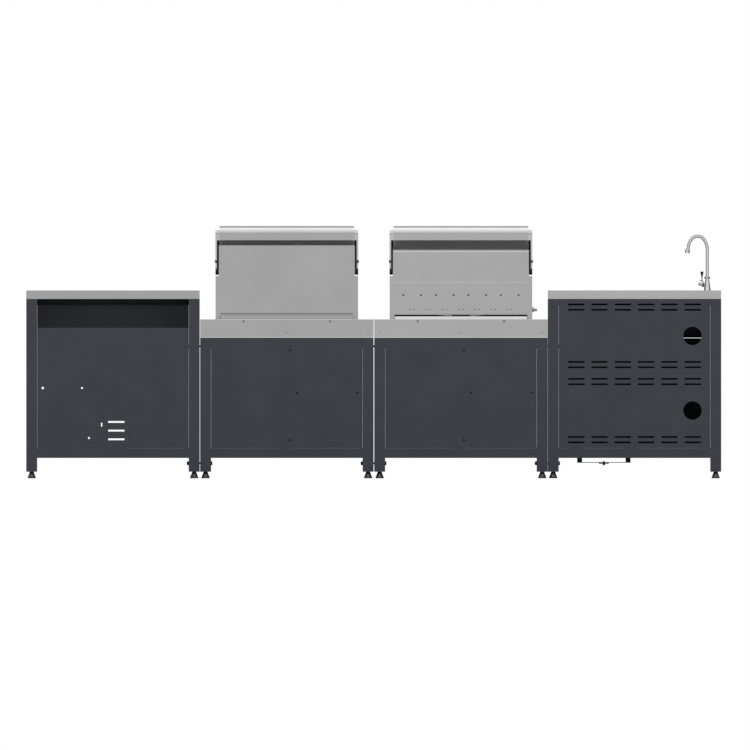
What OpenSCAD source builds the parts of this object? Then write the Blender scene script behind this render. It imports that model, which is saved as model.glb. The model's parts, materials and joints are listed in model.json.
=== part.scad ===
// Modular outdoor kitchen: four steel-framed units bolted side by side.
// Storage unit, charcoal grill unit, gas grill unit and sink unit, seen from the rear with +X on the left.
// Millimetres. +Z is up, the cooks stand on the -Y side, and the origin is under the middle of the box.

/* [Layout] */
// Width of one unit across its posts
unit_w = 854; // [820:1:900]
// Depth of one unit across its posts
unit_d = 600; // [590:1:650]
// Gap between the storage unit and the charcoal unit
gap_store = 2; // [1:0.5:14]
// Gap between the charcoal unit and the gas unit
gap_grill = 3; // [2:0.5:14]
// Gap between the gas unit and the sink unit
gap_sink = 0.4; // [0.4:0.1:14]
// Height of the worktops above the ground
worktop_z = 925; // [905:1:960]
// Height of the tops of the two grill surrounds
surround_z = 783; // [775:1:790]

/* [Frame] */
// Outside size of the square post tube
tube = 54; // [48:1:56]
// Wall of the post and rail tubes
tube_wall = 2; // [1.5:0.1:3]
// Height of the underside of the bottom rails
rail_z = 100; // [90:1:110]
// Height of a bottom rail
rail_h = 50; // [40:1:55]
// Thickness of a bottom rail from front to back
rail_d = 30; // [25:1:40]
// Size of the light square top rails
top_rail = 30; // [25:1:30]
// Height of the lower joining bolts
bolt_low_z = 74; // [72:1:78]
// Height of the upper joining bolts
bolt_high_z = 650; // [600:1:651]
// Radius of a joining bolt
bolt_r = 5; // [4:0.5:6]
// Distance of the joining bolts inside the front and rear faces of the posts
bolt_in = 32; // [30:0.5:36]

/* [Feet] */
// Height of a levelling foot under its post
foot_h = 32; // [28:1:40]
// Radius of a foot at the ground
foot_r = 20.5; // [18:0.5:24]
// Radius of a foot under its post
foot_neck_r = 10; // [8:0.5:14]
// Radius of the threaded stud of a foot
stud_r = 5; // [4:0.5:6]
// Length of the stud above the foot
stud_l = 26; // [20:1:28]

/* [Panels] */
// Thickness of the painted sheet
sheet = 2; // [1.5:0.1:2.5]
// Distance of the rear and side panels inside the faces of the posts
panel_inset = 2; // [1:0.5:4]
// Seam between a panel and the posts beside it
seam = 0.4; // [0.3:0.1:0.9]
// Height of the top edge of the storage unit's rear panel
store_panel_z = 741; // [700:1:780]
// Height of the seam between the sink unit's two rear panels
sink_seam_z = 518; // [500:1:525]
// Height of the underside of the front fascias
fascia_z = 692; // [690:1:700]
// Depth of the folded edges of a panel
fold = 16; // [12:1:20]
// Radius of the two service holes behind the sink
service_r = 45.5; // [40:0.5:50]
// Width of a vent slot
vent_w = 80; // [60:1:90]
// Height of a vent slot
vent_h = 8.6; // [6:0.2:10]
// Distance between columns of vent slots
vent_pitch = 114.7; // [105:0.1:116]

/* [Worktops] */
// Depth of the worktop's folded edge
worktop_t = 42; // [38:1:48]
// Overhang of the worktops in front of the posts
worktop_lip = 20; // [10:1:28]
// Thickness of the stainless sheet
skin = 2; // [1.5:0.1:2.5]
// Width of the return flange under a worktop
flange_w = 30; // [26:1:40]
// Height of a grill surround
surround_h = 91; // [85:1:95]

/* [Doors] */
// Thickness of a door
door_t = 20; // [18:1:22]
// Height of the top edge of the doors
door_top_z = 690; // [680:1:690]
// Gap between a door and what is beside it
door_gap = 3; // [2.5:0.5:4]
// Gap between the rails and the underside of a door
door_foot_gap = 3; // [2:0.5:5]
// Radius of a door's pivot pin
door_pin_r = 4; // [3:0.5:5]
// Depth of the finger recess at the free edge of a door
pull_w = 20; // [16:1:26]
// Reach of the lip over the finger recess
pull_lip = 8; // [5:1:10]

/* [Grill heads] */
// Width of a firebox
box_w = 702; // [680:1:702]
// Distance of the firebox's rear wall inside the rear of the unit
box_inset = 30; // [28:1:34]
// Space between a firebox and the face of its front panel
front_bay = 87; // [80:1:100]
// Height of the firebox's shoulders
shoulder_z = 996; // [990:1:1000]
// Thickness of the firebox sheet
box_t = 3; // [2.5:0.1:3.5]
// Width between the outsides of the upper walls
upper_w = 669.5; // [660:0.5:672]
// Height of the charcoal grill's upper rear wall
charcoal_wall_z = 1146.6; // [1125:0.1:1148]
// Height of the gas grill's upper rear wall
gas_wall_z = 1125.4; // [1115:0.1:1135]
// Height of the ledges that carry the grates
ledge_z = 955; // [950:1:960]
// Width of a ledge
ledge_w = 15; // [12:1:18]

/* [Hoods] */
// Width of a hood
hood_w = 703.5; // [703:0.5:710]
// Distance of the hood's pivot inside the rear of the unit
pivot_in = 80; // [78:1:84]
// Height of the hood's pivot
pivot_z = 1069; // [1066:1:1071]
// Space between the shoulders and the hood's cheeks
hood_clear = 7; // [5:0.5:9]
// Height of the top of a hood's cheeks
cheek_z = 1222; // [1218:1:1226]
// Thickness of a cheek
cheek_t = 8; // [6:0.5:8]
// Width of the cheek's folded cap
cap_w = 21; // [18:1:21]
// Height of the hood's crown
crown_z = 1242; // [1240:1:1250]
// Height of the step down behind the crown
crown_step = 7; // [6:1:10]
// Thickness of the hood's skin
hood_t = 3; // [2:0.1:4]
// Height of the lower edge of the hood's rear face
hood_rear_z = 1172; // [1168:1:1180]
// Radius of the hood's front curve
hood_front_r = 110; // [100:1:115]
// Radius of the hood's rear edge
hood_rear_r = 27; // [15:1:28]
// Radius of a hood's pivot bolt
hood_pin_r = 5; // [4:0.5:6]
// Radius of a hood's handle bar
handle_r = 11; // [9:0.5:13]
// Distance between a hood's front and the middle of its handle
handle_out = 45; // [38:1:50]
// Radius of a hood gauge
gauge_r = 32; // [28:1:36]

/* [Gas grill] */
// Distance between neighbouring burners
burner_pitch = 160; // [150:1:162]
// Radius of a burner tube
burner_r = 13; // [11:0.5:15]
// Height of the burners
burner_z = 885; // [880:1:888]
// Height of the gas manifold
manifold_z = 831; // [828:1:834]
// Radius of the gas manifold
manifold_r = 10; // [8:0.5:12]
// Radius of the gas inlet's thread
inlet_r = 8.3; // [6:0.1:9]
// Length of the gas inlet outside the panel
inlet_l = 24; // [20:1:30]
// Radius of a knob
knob_r = 23; // [20:0.5:26]
// Length of a knob
knob_l = 30; // [26:1:34]
// Radius of a valve stem
stem_r = 3; // [2.5:0.5:4]

/* [Front panels] */
// Distance of the front panels inside the front of the posts
front_set = 8; // [6:1:12]
// Height of the underside of the front panels
front_low_z = 808; // [806:1:812]
// Height of the top of the front panels
front_top_z = 985; // [975:1:988]

/* [Sink] */
// Inside width of the basin
basin_w = 330; // [300:1:340]
// Inside length of the basin from front to back
basin_l = 400; // [360:1:420]
// Depth of the basin
basin_h = 180; // [150:1:200]
// Distance of the basin's middle from the unit's middle, towards the faucet
basin_off = 155; // [150:1:160]
// Radius of the basin's upright corners
basin_r = 25; // [25:1:60]
// Radius of the waste outlet
waste_r = 20; // [16:0.5:25]
// Distance of the faucet from the unit's middle
faucet_off = 358.3; // [355:0.1:362]
// Radius of the faucet's spout tube
spout_r = 7.5; // [6:0.5:8]
// Half the width of the spout's bend
bend_w = 47.3; // [42:0.1:52]
// Rise of the spout's bend above its straight tube
bend_h = 65; // [60:0.5:70]
// Height at which the spout's bend begins
bend_z = 1127; // [1110:0.5:1145]
// Height of the top of the faucet's body
faucet_top_z = 988; // [980:1:992]

/* [Cylinder cradle] */
// Distance of the cradle from the unit's middle
cradle_off = 150.8; // [145:0.1:155]
// Overall width of the cradle
cradle_w = 263; // [250:1:270]
// Width of a cradle post
cradle_post = 24.6; // [20:0.2:28]
// Height of the underside of the cradle
cradle_z = 76.6; // [74:0.1:80]
// Thickness of the cradle's plate
cradle_t = 3.4; // [2.5:0.1:4]

/* [Hidden] */
$fn = 48;

// Clearances: a running fit, a gap at rest, a through hole and an overrun for cuts
fit = 0.05;
rest_gap = 0.3;
hole_gap = 0.5;
over = 1;

// Places worked out from the driving sizes
store_index = 0;
charcoal_index = 1;
gas_index = 2;
sink_index = 3;
total_w = 4 * unit_w + gap_store + gap_grill + gap_sink;
sink_x = -total_w / 2 + unit_w / 2;
gas_x = sink_x + unit_w + gap_sink;
charcoal_x = gas_x + unit_w + gap_grill;
store_x = charcoal_x + unit_w + gap_store;
unit_x = [store_x, charcoal_x, gas_x, sink_x];
front_reach = max(worktop_lip, knob_l - front_set);
rear_y = (unit_d + front_reach) / 2;
post_in = unit_w / 2 - tube;
tall_z = worktop_z - worktop_t;
low_z = surround_z - surround_h;
rail_top = rail_z + rail_h;
unit_top = [tall_z, low_z, low_z, tall_z];
panel_face = unit_d - front_set;
box_front = panel_face - front_bay;
box_d = box_front - box_inset;
box_mid_y = -box_inset - box_d / 2;
upper_in = upper_w / 2 - box_t;

// One unit's own frame: x from its middle, y from its rear face
module at_unit(i) {
    translate([unit_x[i], rear_y, 0])
        children();
}

// A profile drawn in y and z, pulled along x
module along_x(from, to) {
    translate([from, 0, 0])
        rotate([90, 0, 90])
            linear_extrude(to - from)
                children();
}

// A profile drawn in x and z, pulled along y
module along_y(from, to) {
    translate([0, to, 0])
        rotate([90, 0, 0])
            linear_extrude(to - from)
                children();
}

// A block between two corners
module block(low, high) {
    translate(low)
        cube(high - low);
}

module both_sides() {
    children();
    mirror([1, 0, 0])
        children();
}

module rod_x(from, to, r) {
    translate([from, 0, 0])
        rotate([0, 90, 0])
            cylinder(h = to - from, r = r);
}

module rod_y(from, to, r) {
    translate([0, to, 0])
        rotate([90, 0, 0])
            cylinder(h = to - from, r = r);
}

// Colours
slate = [0.25, 0.26, 0.29];
steel = [0.66, 0.66, 0.66];
black = [0.07, 0.07, 0.07];
chrome = [0.8, 0.8, 0.82];
iron = [0.13, 0.13, 0.13];

// Feet: a flared pad with its stud
plug_t = 6;
foot_rim = 4;

module foot() {
    rotate_extrude()
        polygon([[0, 0], [foot_r, 0], [foot_r, foot_rim], [foot_neck_r, foot_h],
            [stud_r, foot_h], [stud_r, foot_h + stud_l], [0, foot_h + stud_l]]);
}

module levelling_feet() {
    color(black)
        for (i = [store_index:sink_index], x = [-1, 1], y = [tube / 2, unit_d - tube / 2])
            at_unit(i)
                translate([x * (unit_w / 2 - tube / 2), -y, 0])
                    foot();
}

// Posts: square tube with a threaded plug at the foot, drilled for the joining bolts
module post(top_z, shift) {
    difference() {
        translate([-tube / 2, -tube / 2, foot_h])
            cube([tube, tube, top_z - foot_h]);
        translate([-tube / 2 + tube_wall, -tube / 2 + tube_wall, foot_h + plug_t])
            cube([tube - 2 * tube_wall, tube - 2 * tube_wall, top_z - foot_h]);
        translate([0, 0, foot_h - over])
            cylinder(h = plug_t + 2 * over, r = stud_r + fit);
        for (z = [bolt_low_z, bolt_high_z])
            translate([0, shift, z])
                rod_x(-tube / 2 - over, tube / 2 + over, bolt_r + hole_gap);
    }
}

module posts(i) {
    color(slate)
        at_unit(i)
            for (x = [-1, 1], y = [-1, 1])
                translate([x * (unit_w / 2 - tube / 2), -unit_d / 2 + y * (unit_d / 2 - tube / 2), 0])
                    post(unit_top[i], y * (tube / 2 - bolt_in));
}

// Rails: hollow tubes between the posts
module tube_along_x(length, deep, high) {
    difference() {
        translate([-length / 2, -deep / 2, -high / 2])
            cube([length, deep, high]);
        translate([-length / 2 - over, -deep / 2 + tube_wall, -high / 2 + tube_wall])
            cube([length + 2 * over, deep - 2 * tube_wall, high - 2 * tube_wall]);
    }
}

module rail_x(y, z, deep, high) {
    translate([0, y, z])
        tube_along_x(2 * post_in, deep, high);
}

module rail_y(x, z, wide, high) {
    translate([x, -unit_d / 2, z])
        rotate([0, 0, 90])
            tube_along_x(unit_d - 2 * tube, wide, high);
}

module unit_rails(i) {
    top_mid = unit_top[i] - top_rail / 2;
    at_unit(i) {
        for (y = [-rail_d / 2, -unit_d + rail_d / 2])
            rail_x(y, rail_z + rail_h / 2, rail_d, rail_h);
        for (x = [-1, 1]) {
            rail_y(x * (unit_w / 2 - tube / 2), rail_z + rail_h / 2, tube, rail_h);
            rail_y(x * (unit_w / 2 - top_rail / 2), top_mid, top_rail, top_rail);
        }
        rail_x(-unit_d + door_t + fold + top_rail / 2, top_mid, top_rail, top_rail);
        if (i == charcoal_index || i == gas_index)
            rail_x(-panel_inset - fold - top_rail / 2, top_mid, top_rail, top_rail);
    }
}

module tall_rails() {
    color(slate) {
        unit_rails(store_index);
        unit_rails(sink_index);
    }
}

module low_rails() {
    color(slate) {
        unit_rails(charcoal_index);
        unit_rails(gas_index);
    }
}

// Side panels: sheets with folded edges between the front and rear posts
module side_panel(i) {
    reach = unit_d / 2 - tube - seam;
    outer = unit_w / 2 - panel_inset;
    at_unit(i)
        both_sides()
            difference() {
                block([outer - fold, -unit_d / 2 - reach, rail_top],
                    [outer, -unit_d / 2 + reach, unit_top[i] - top_rail]);
                block([outer - fold - over, -unit_d / 2 - reach + sheet, rail_top + sheet],
                    [outer - sheet, -unit_d / 2 + reach - sheet, unit_top[i] - top_rail - sheet]);
            }
}

module tall_side_panels() {
    color(slate) {
        side_panel(store_index);
        side_panel(sink_index);
    }
}

module low_side_panels() {
    color(slate) {
        side_panel(charcoal_index);
        side_panel(gas_index);
    }
}

// Floors: folded trays that rest on the front and rear rails
cradle_hole = cradle_w - 2 * cradle_post - fold / 2;

module floor_tray(i) {
    wide = post_in - seam;
    front = unit_d - door_t - door_gap;
    at_unit(i)
        difference() {
            union() {
                block([-wide, -front, rail_top], [wide, -panel_inset - sheet - fold, rail_top + sheet]);
                for (x = [-wide, wide - sheet])
                    block([x, -front + rail_d, rail_top - fold],
                        [x + sheet, -panel_inset - sheet - fold - rail_d, rail_top + sheet]);
            }
            if (i == sink_index)
                block([cradle_off - cradle_hole / 2, -unit_d / 2 - cradle_hole / 2, rail_z],
                    [cradle_off + cradle_hole / 2, -unit_d / 2 + cradle_hole / 2, rail_top + fold]);
        }
}

module cabinet_floors() {
    color(slate)
        for (i = [store_index:sink_index])
            floor_tray(i);
}

// Rear panels: pans that stand on the rear rail between the posts
module rear_pan(low, high) {
    wide = post_in - seam;
    difference() {
        block([-wide, -panel_inset - fold, low], [wide, -panel_inset, high]);
        block([-wide + sheet, -panel_inset - fold - over, low + sheet],
            [wide - sheet, -panel_inset - sheet, high - sheet]);
    }
}

module round_hole(x, z, r) {
    translate([x, 0, z])
        rod_y(-panel_inset - sheet - over, over, r);
}

module slot_hole(x, z, wide, high) {
    translate([x, -panel_inset - sheet / 2, z])
        cube([wide, sheet + 2 * over, high], center = true);
}

// Places in the storage unit's rear panel: x from the middle, z from the ground, radius
cable_hole_x = 345.6;
cable_hole_z = 444.6;
cable_hole_r = 6;
tie_hole_x = 152.5;
tie_hole_r = 5;
plate_hole_x = 118;
plate_hole_z = 198.4;
plate_slot_x = 55.6;
plate_slot_z = 264;
plate_slot_w = 6;
plate_slot_h = 19;
low_vent_x = -16.5;
low_vent_z = 277.4;
low_vent_pitch = 42.7;

module store_rear_panel() {
    color(slate)
        at_unit(store_index)
            difference() {
                rear_pan(rail_top, store_panel_z);
                round_hole(cable_hole_x, cable_hole_z, cable_hole_r);
                round_hole(tie_hole_x, cable_hole_z, tie_hole_r);
                round_hole(plate_hole_x, plate_hole_z, tie_hole_r);
                slot_hole(plate_slot_x, plate_slot_z, plate_slot_w, plate_slot_h);
                for (k = [0:2])
                    slot_hole(low_vent_x, low_vent_z - k * low_vent_pitch, vent_w, vent_h);
            }
}

// Places of the small cable holes in the grill units' rear panels
grill_hole_r = 4.5;
grill_hole_x = -15;
grill_hole_low_z = 188;
grill_hole_high_z = 630;
grill_side_hole_x = -348;
grill_inner_hole_x = -50;
grill_side_hole_z = 421;

module grill_rear_panel(i) {
    color(slate)
        at_unit(i)
            difference() {
                rear_pan(rail_top, low_z);
                round_hole(grill_hole_x, grill_hole_low_z, grill_hole_r);
                round_hole(grill_hole_x, grill_hole_high_z, grill_hole_r);
                round_hole(grill_side_hole_x, grill_side_hole_z, grill_hole_r);
                round_hole(grill_inner_hole_x, grill_side_hole_z, grill_hole_r);
            }
}

module charcoal_rear_panel() {
    grill_rear_panel(charcoal_index);
}

module gas_rear_panel() {
    grill_rear_panel(gas_index);
}

// Sink unit: two pans with rows of vent slots and a service hole each
service_off = 285.5;
service_high_z = 701;
service_low_z = 333.8;
vent_columns = 6;
vent_row_pitch = 26.5;
top_vent_drop = 27;
seam_vent_gap = 28.5;
low_vent_rise = 27;

module vent_row(z) {
    for (k = [0:vent_columns - 1])
        slot_hole((k - (vent_columns - 1) / 2) * vent_pitch, z, vent_w, vent_h);
}

module sink_rear_upper() {
    color(slate)
        at_unit(sink_index)
            difference() {
                rear_pan(sink_seam_z + seam, tall_z);
                round_hole(-service_off, service_high_z, service_r);
                for (k = [0, 1]) {
                    vent_row(tall_z - top_vent_drop - k * vent_row_pitch);
                    vent_row(sink_seam_z + seam_vent_gap + k * vent_row_pitch);
                }
            }
}

module sink_rear_lower() {
    color(slate)
        at_unit(sink_index)
            difference() {
                rear_pan(rail_top, sink_seam_z);
                round_hole(-service_off, service_low_z, service_r);
                for (k = [0, 1]) {
                    vent_row(sink_seam_z - seam_vent_gap - k * vent_row_pitch);
                    vent_row(rail_top + low_vent_rise + k * vent_row_pitch);
                }
            }
}

// Fascias: closed pans above the open bay and above the sink unit's doors
module fascia(i) {
    wide = post_in - seam;
    at_unit(i)
        difference() {
            block([-wide, -unit_d, fascia_z], [wide, -unit_d + door_t + fold, tall_z]);
            block([-wide + sheet, -unit_d + sheet, fascia_z + sheet],
                [wide - sheet, -unit_d + door_t + fold + over, tall_z - sheet]);
        }
}

module cabinet_fascias() {
    color(slate) {
        fascia(store_index);
        fascia(sink_index);
    }
}

// Worktops: folded stainless sheet with a return flange on the posts
stiffener_w = 12;
stiffener_x = 386;

module worktop_shell() {
    wide = unit_w / 2;
    front = -unit_d - worktop_lip;
    difference() {
        block([-wide, front, tall_z], [wide, 0, worktop_z]);
        block([-wide + skin, front + skin, tall_z + skin], [wide - skin, -skin, worktop_z - skin]);
        block([-wide + flange_w, front + flange_w, tall_z - over],
            [wide - flange_w, -flange_w, tall_z + 2 * skin]);
    }
    // Stiffening channels under the top sheet
    for (x = [-1, 1])
        block([x * stiffener_x - stiffener_w / 2, front + skin, tall_z + skin],
            [x * stiffener_x + stiffener_w / 2, -skin, tall_z + skin + stiffener_w]);
}

module store_worktop() {
    color(steel)
        at_unit(store_index)
            worktop_shell();
}

// The sink's cut-out, with round corners made from discs and bars
module basin_plan(grow) {
    w = basin_w + 2 * grow;
    l = basin_l + 2 * grow;
    r = basin_r + grow;
    square([w - 2 * r, l], center = true);
    square([w, l - 2 * r], center = true);
    for (x = [-1, 1], y = [-1, 1])
        translate([x * (w / 2 - r), y * (l / 2 - r)])
            circle(r = r);
}

faucet_foot_r = 16.5;
tail_r = 12;
basin_rim = 8;

module sink_worktop() {
    color(steel)
        at_unit(sink_index)
            difference() {
                worktop_shell();
                translate([-basin_off, -unit_d / 2, tall_z + 2 * skin])
                    linear_extrude(worktop_t)
                        basin_plan(0);
                translate([-faucet_off, -unit_d / 2, tall_z + 2 * skin])
                    cylinder(h = worktop_t, r = tail_r + hole_gap);
            }
}

// The basin hangs by its rim under the top sheet
module sink_basin() {
    top = worktop_z - skin;
    color(steel)
        at_unit(sink_index)
            translate([-basin_off, -unit_d / 2, top - basin_h])
                difference() {
                    union() {
                        linear_extrude(basin_h)
                            basin_plan(skin);
                        translate([0, 0, basin_h - skin])
                            linear_extrude(skin)
                                basin_plan(skin + basin_rim);
                    }
                    translate([0, 0, skin])
                        linear_extrude(basin_h)
                            basin_plan(0);
                    translate([0, 0, -over])
                        cylinder(h = skin + 2 * over, r = waste_r + hole_gap);
                }
}

waste_flange_r = 35;
waste_flange_t = 3;
waste_l = 110;
tail_piece_r = 16;
waste_nut_h = 20;

module basin_waste() {
    z = worktop_z - skin - basin_h + skin;
    color(chrome)
        at_unit(sink_index)
            translate([-basin_off, -unit_d / 2, z])
                difference() {
                    union() {
                        cylinder(h = waste_flange_t, r = waste_flange_r);
                        translate([0, 0, -skin - waste_nut_h])
                            cylinder(h = skin + waste_nut_h, r = waste_r);
                        translate([0, 0, -skin - waste_nut_h])
                            cylinder(h = waste_nut_h, r = waste_flange_r - waste_flange_t);
                        translate([0, 0, -waste_l])
                            cylinder(h = waste_l, r = tail_piece_r);
                    }
                    translate([0, 0, -waste_l - over])
                        cylinder(h = waste_l + waste_flange_t + 2 * over, r = tail_piece_r - skin);
                }
}

// Faucet: a turned body with a side valve, a swivelling gooseneck and a lever
faucet_neck_z = 978;
faucet_neck_r = 9.5;
collar_r = 15;
collar_round = 4.5;
barrel_z = 945;
barrel_tilt = 17;
barrel_r = 6.5;
barrel_l = 46;
barrel_flare = 9;
barrel_end_r = 8.5;
tail_l = 60;
spout_seat = 24;
outlet_tilt = 10;
outlet_l = 33;
aerator_r = 11.3;
aerator_h = 20;
lever_sleeve_in = 17;
lever_sleeve_w = 7;
lever_sleeve_r = 10.5;
lever_x = 26;
lever_z = 975;
lever_h = 43;
lever_r = 2.4;
lever_tip_r = 8.2;
lever_rim = 1.8;
lever_pin_r = 1.8;
lever_elbow_r = 3;
lever_pin_l = 11;

// A frame along the side valve's barrel, tilted up from the body
module at_barrel() {
    translate([0, 0, barrel_z])
        rotate([0, 90 - barrel_tilt, 0])
            children();
}

module faucet_body() {
    top = faucet_top_z + collar_round;
    color(chrome)
        at_unit(sink_index)
            translate([-faucet_off, -unit_d / 2, 0])
                difference() {
                    union() {
                        rotate_extrude()
                            polygon([[0, worktop_z - tail_l], [tail_r, worktop_z - tail_l],
                                [tail_r, worktop_z], [faucet_foot_r, worktop_z],
                                [faucet_neck_r, faucet_neck_z], [faucet_neck_r, top], [0, top]]);
                        // Rounded collar under the spout
                        translate([0, 0, faucet_top_z - collar_round])
                            cylinder(h = 2 * collar_round, r = collar_r - collar_round);
                        translate([0, 0, faucet_top_z])
                            rotate_extrude()
                                translate([collar_r - collar_round, 0])
                                    circle(r = collar_round);
                        at_barrel() {
                            cylinder(h = barrel_l, r = barrel_r);
                            translate([0, 0, barrel_l - barrel_flare])
                                cylinder(h = barrel_flare, r1 = barrel_r, r2 = barrel_end_r);
                        }
                    }
                    translate([0, 0, top - spout_seat])
                        cylinder(h = spout_seat + over, r = spout_r - skin + fit);
                }
}

// The bend has a tight crown between two wider arcs
bend_turn = 40;
bend_slack = (bend_h - bend_w) / (sin(bend_turn) + cos(bend_turn) - 1);
bend_side_r = bend_w + bend_slack * cos(bend_turn);
bend_crown_r = bend_side_r - bend_slack;

module spout_arc(x, z, r, from, to) {
    translate([x, 0, z])
        rotate([90, 0, 0])
            rotate([0, 0, from])
                rotate_extrude(angle = to - from)
                    translate([r, 0])
                        circle(r = spout_r);
}

module faucet_spout() {
    base = faucet_top_z + collar_round + rest_gap;
    color(chrome)
        at_unit(sink_index)
            translate([-faucet_off, -unit_d / 2, 0]) {
                translate([0, 0, base - spout_seat])
                    cylinder(h = spout_seat + over, r = spout_r - skin);
                translate([0, 0, base])
                    cylinder(h = bend_z - base, r = spout_r);
                spout_arc(bend_side_r, bend_z, bend_side_r, 180 - bend_turn, 180);
                spout_arc(bend_w, bend_z + bend_h - bend_crown_r, bend_crown_r, bend_turn, 180 - bend_turn);
                spout_arc(2 * bend_w - bend_side_r, bend_z, bend_side_r, outlet_tilt, bend_turn);
                // Straight outlet with its aerator
                translate([2 * bend_w - bend_side_r + bend_side_r * cos(outlet_tilt), 0,
                    bend_z + bend_side_r * sin(outlet_tilt)])
                    rotate([0, 180 - outlet_tilt, 0]) {
                        cylinder(h = outlet_l - aerator_h, r = spout_r);
                        translate([0, 0, outlet_l - aerator_h])
                            cylinder(h = aerator_h, r = aerator_r);
                    }
            }
}

// A sleeve that turns on the barrel, with a cranked stem and a flared grip
module faucet_lever() {
    root_x = (lever_sleeve_in + lever_sleeve_w / 2) * cos(barrel_tilt);
    root_z = barrel_z + (lever_sleeve_in + lever_sleeve_w / 2) * sin(barrel_tilt) + lever_sleeve_r - lever_r;
    run = lever_x - root_x;
    rise = lever_z - root_z;
    color(black)
        at_unit(sink_index)
            translate([-faucet_off, -unit_d / 2, 0])
                difference() {
                    union() {
                        at_barrel()
                            translate([0, 0, lever_sleeve_in])
                                cylinder(h = lever_sleeve_w, r = lever_sleeve_r);
                        translate([root_x, 0, root_z])
                            rotate([0, atan2(run, rise), 0])
                                cylinder(h = norm([run, rise]), r = lever_r);
                        translate([lever_x, 0, lever_z])
                            sphere(r = lever_elbow_r);
                        translate([lever_x, 0, lever_z])
                            rotate_extrude()
                                polygon([[0, 0], [lever_r, 0], [lever_r, lever_h / 3],
                                    [lever_tip_r / 2, lever_h / 2], [lever_tip_r, lever_h - 2 * lever_rim],
                                    [lever_tip_r, lever_h - lever_rim], [lever_tip_r - lever_rim, lever_h],
                                    [0, lever_h]]);
                        translate([lever_x, 0, lever_z - lever_pin_r])
                            rod_x(0, lever_pin_l, lever_pin_r);
                    }
                    at_barrel()
                        cylinder(h = barrel_l, r = barrel_r + fit);
                }
}

// Gas cylinder cradle: a hanging plate on two posts under the floor
cradle_d = 240;
screw_r = 4;
wing_w = 48;
wing_h = 5;
wing_t = 8;
grip_r = 6;
grip_h = 7;
screw_l = 9;

module cylinder_cradle() {
    color(black)
        at_unit(sink_index)
            translate([cradle_off, -unit_d / 2, 0])
                difference() {
                    union() {
                        block([-cradle_w / 2, -cradle_d / 2, cradle_z],
                            [cradle_w / 2, cradle_d / 2, cradle_z + cradle_t]);
                        for (x = [-1, 1], y = [-1, 1])
                            translate([x * (cradle_w - cradle_post) / 2, y * (cradle_d - cradle_post) / 2, 0])
                                cradle_leg();
                    }
                    translate([0, 0, cradle_z - over])
                        cylinder(h = cradle_t + 2 * over, r = screw_r + fit);
                }
}

module cradle_leg() {
    h = cradle_post / 2;
    block([-h, -h, cradle_z], [h, h, rail_top]);
}

module cradle_screw() {
    color(black)
        at_unit(sink_index)
            translate([cradle_off, -unit_d / 2, cradle_z - rest_gap]) {
                translate([0, 0, -wing_h])
                    cylinder(h = wing_h + screw_l, r = screw_r);
                translate([-wing_w / 2, -wing_t / 2, -wing_h])
                    cube([wing_w, wing_t, wing_h]);
                translate([0, 0, -wing_h - grip_h])
                    cylinder(h = grip_h, r = grip_r);
            }
}

// Grill surrounds: folded stainless frames under the grill heads
well_w = 600;
well_room = 57.5;
well_d = box_d - 2 * well_room;

module surround(i) {
    wide = unit_w / 2;
    color(steel)
        at_unit(i)
            difference() {
                block([-wide, -unit_d, low_z], [wide, 0, surround_z]);
                block([-wide + skin, -unit_d + skin, low_z + skin], [wide - skin, -skin, surround_z - skin]);
                block([-wide + tube, -unit_d + tube, low_z - over], [wide - tube, -tube, low_z + 2 * skin]);
                block([-well_w / 2, box_mid_y - well_d / 2, low_z],
                    [well_w / 2, box_mid_y + well_d / 2, surround_z + over]);
            }
}

module charcoal_surround() {
    surround(charcoal_index);
}

module gas_surround() {
    surround(gas_index);
}

// Fireboxes: a lower box with shoulders and a narrower upper wall
tray_gap = 2;
tray_w = 650;
tray_h = 14.5;
tray_room = 41;
tray_d = box_d - box_t - tray_gap / 2 - tray_room;
tray_slot_z = 805;
wall_drop_share = 0.12;
floor_slope = 24;
floor_z = 799;
drain_w = 90;
ash_h = 25.4;
ash_gap = 1.6;

module wall_profile(top) {
    polygon([[-box_inset, shoulder_z - box_t], [-box_inset, top],
        [-box_inset - box_d * wall_drop_share, top],
        [-box_front + ledge_w, shoulder_z + ledge_w], [-box_front + ledge_w, shoulder_z - box_t]]);
}

module firebox_walls(top) {
    half = box_w / 2;
    // Lower walls
    for (y = [-box_inset, -box_front + box_t])
        block([-half, y - box_t, surround_z], [half, y, shoulder_z]);
    both_sides() {
        block([half - box_t, -box_front, surround_z], [half, -box_inset, shoulder_z]);
        block([upper_in, -box_front, shoulder_z - box_t], [half, -box_inset, shoulder_z]);
        along_x(upper_in, upper_in + box_t)
            wall_profile(top);
    }
    // Upper rear wall
    block([-upper_w / 2, -box_inset - box_t, shoulder_z - over], [upper_w / 2, -box_inset, top]);
    // Ledges for the grates
    for (y = [-box_inset - ledge_w, -box_front])
        block([-half + over, y, ledge_z - box_t], [half - over, y + ledge_w, ledge_z]);
}

module pivot_cut() {
    translate([0, -pivot_in, pivot_z])
        rod_x(-hood_w, hood_w, hood_pin_r + fit);
}

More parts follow.
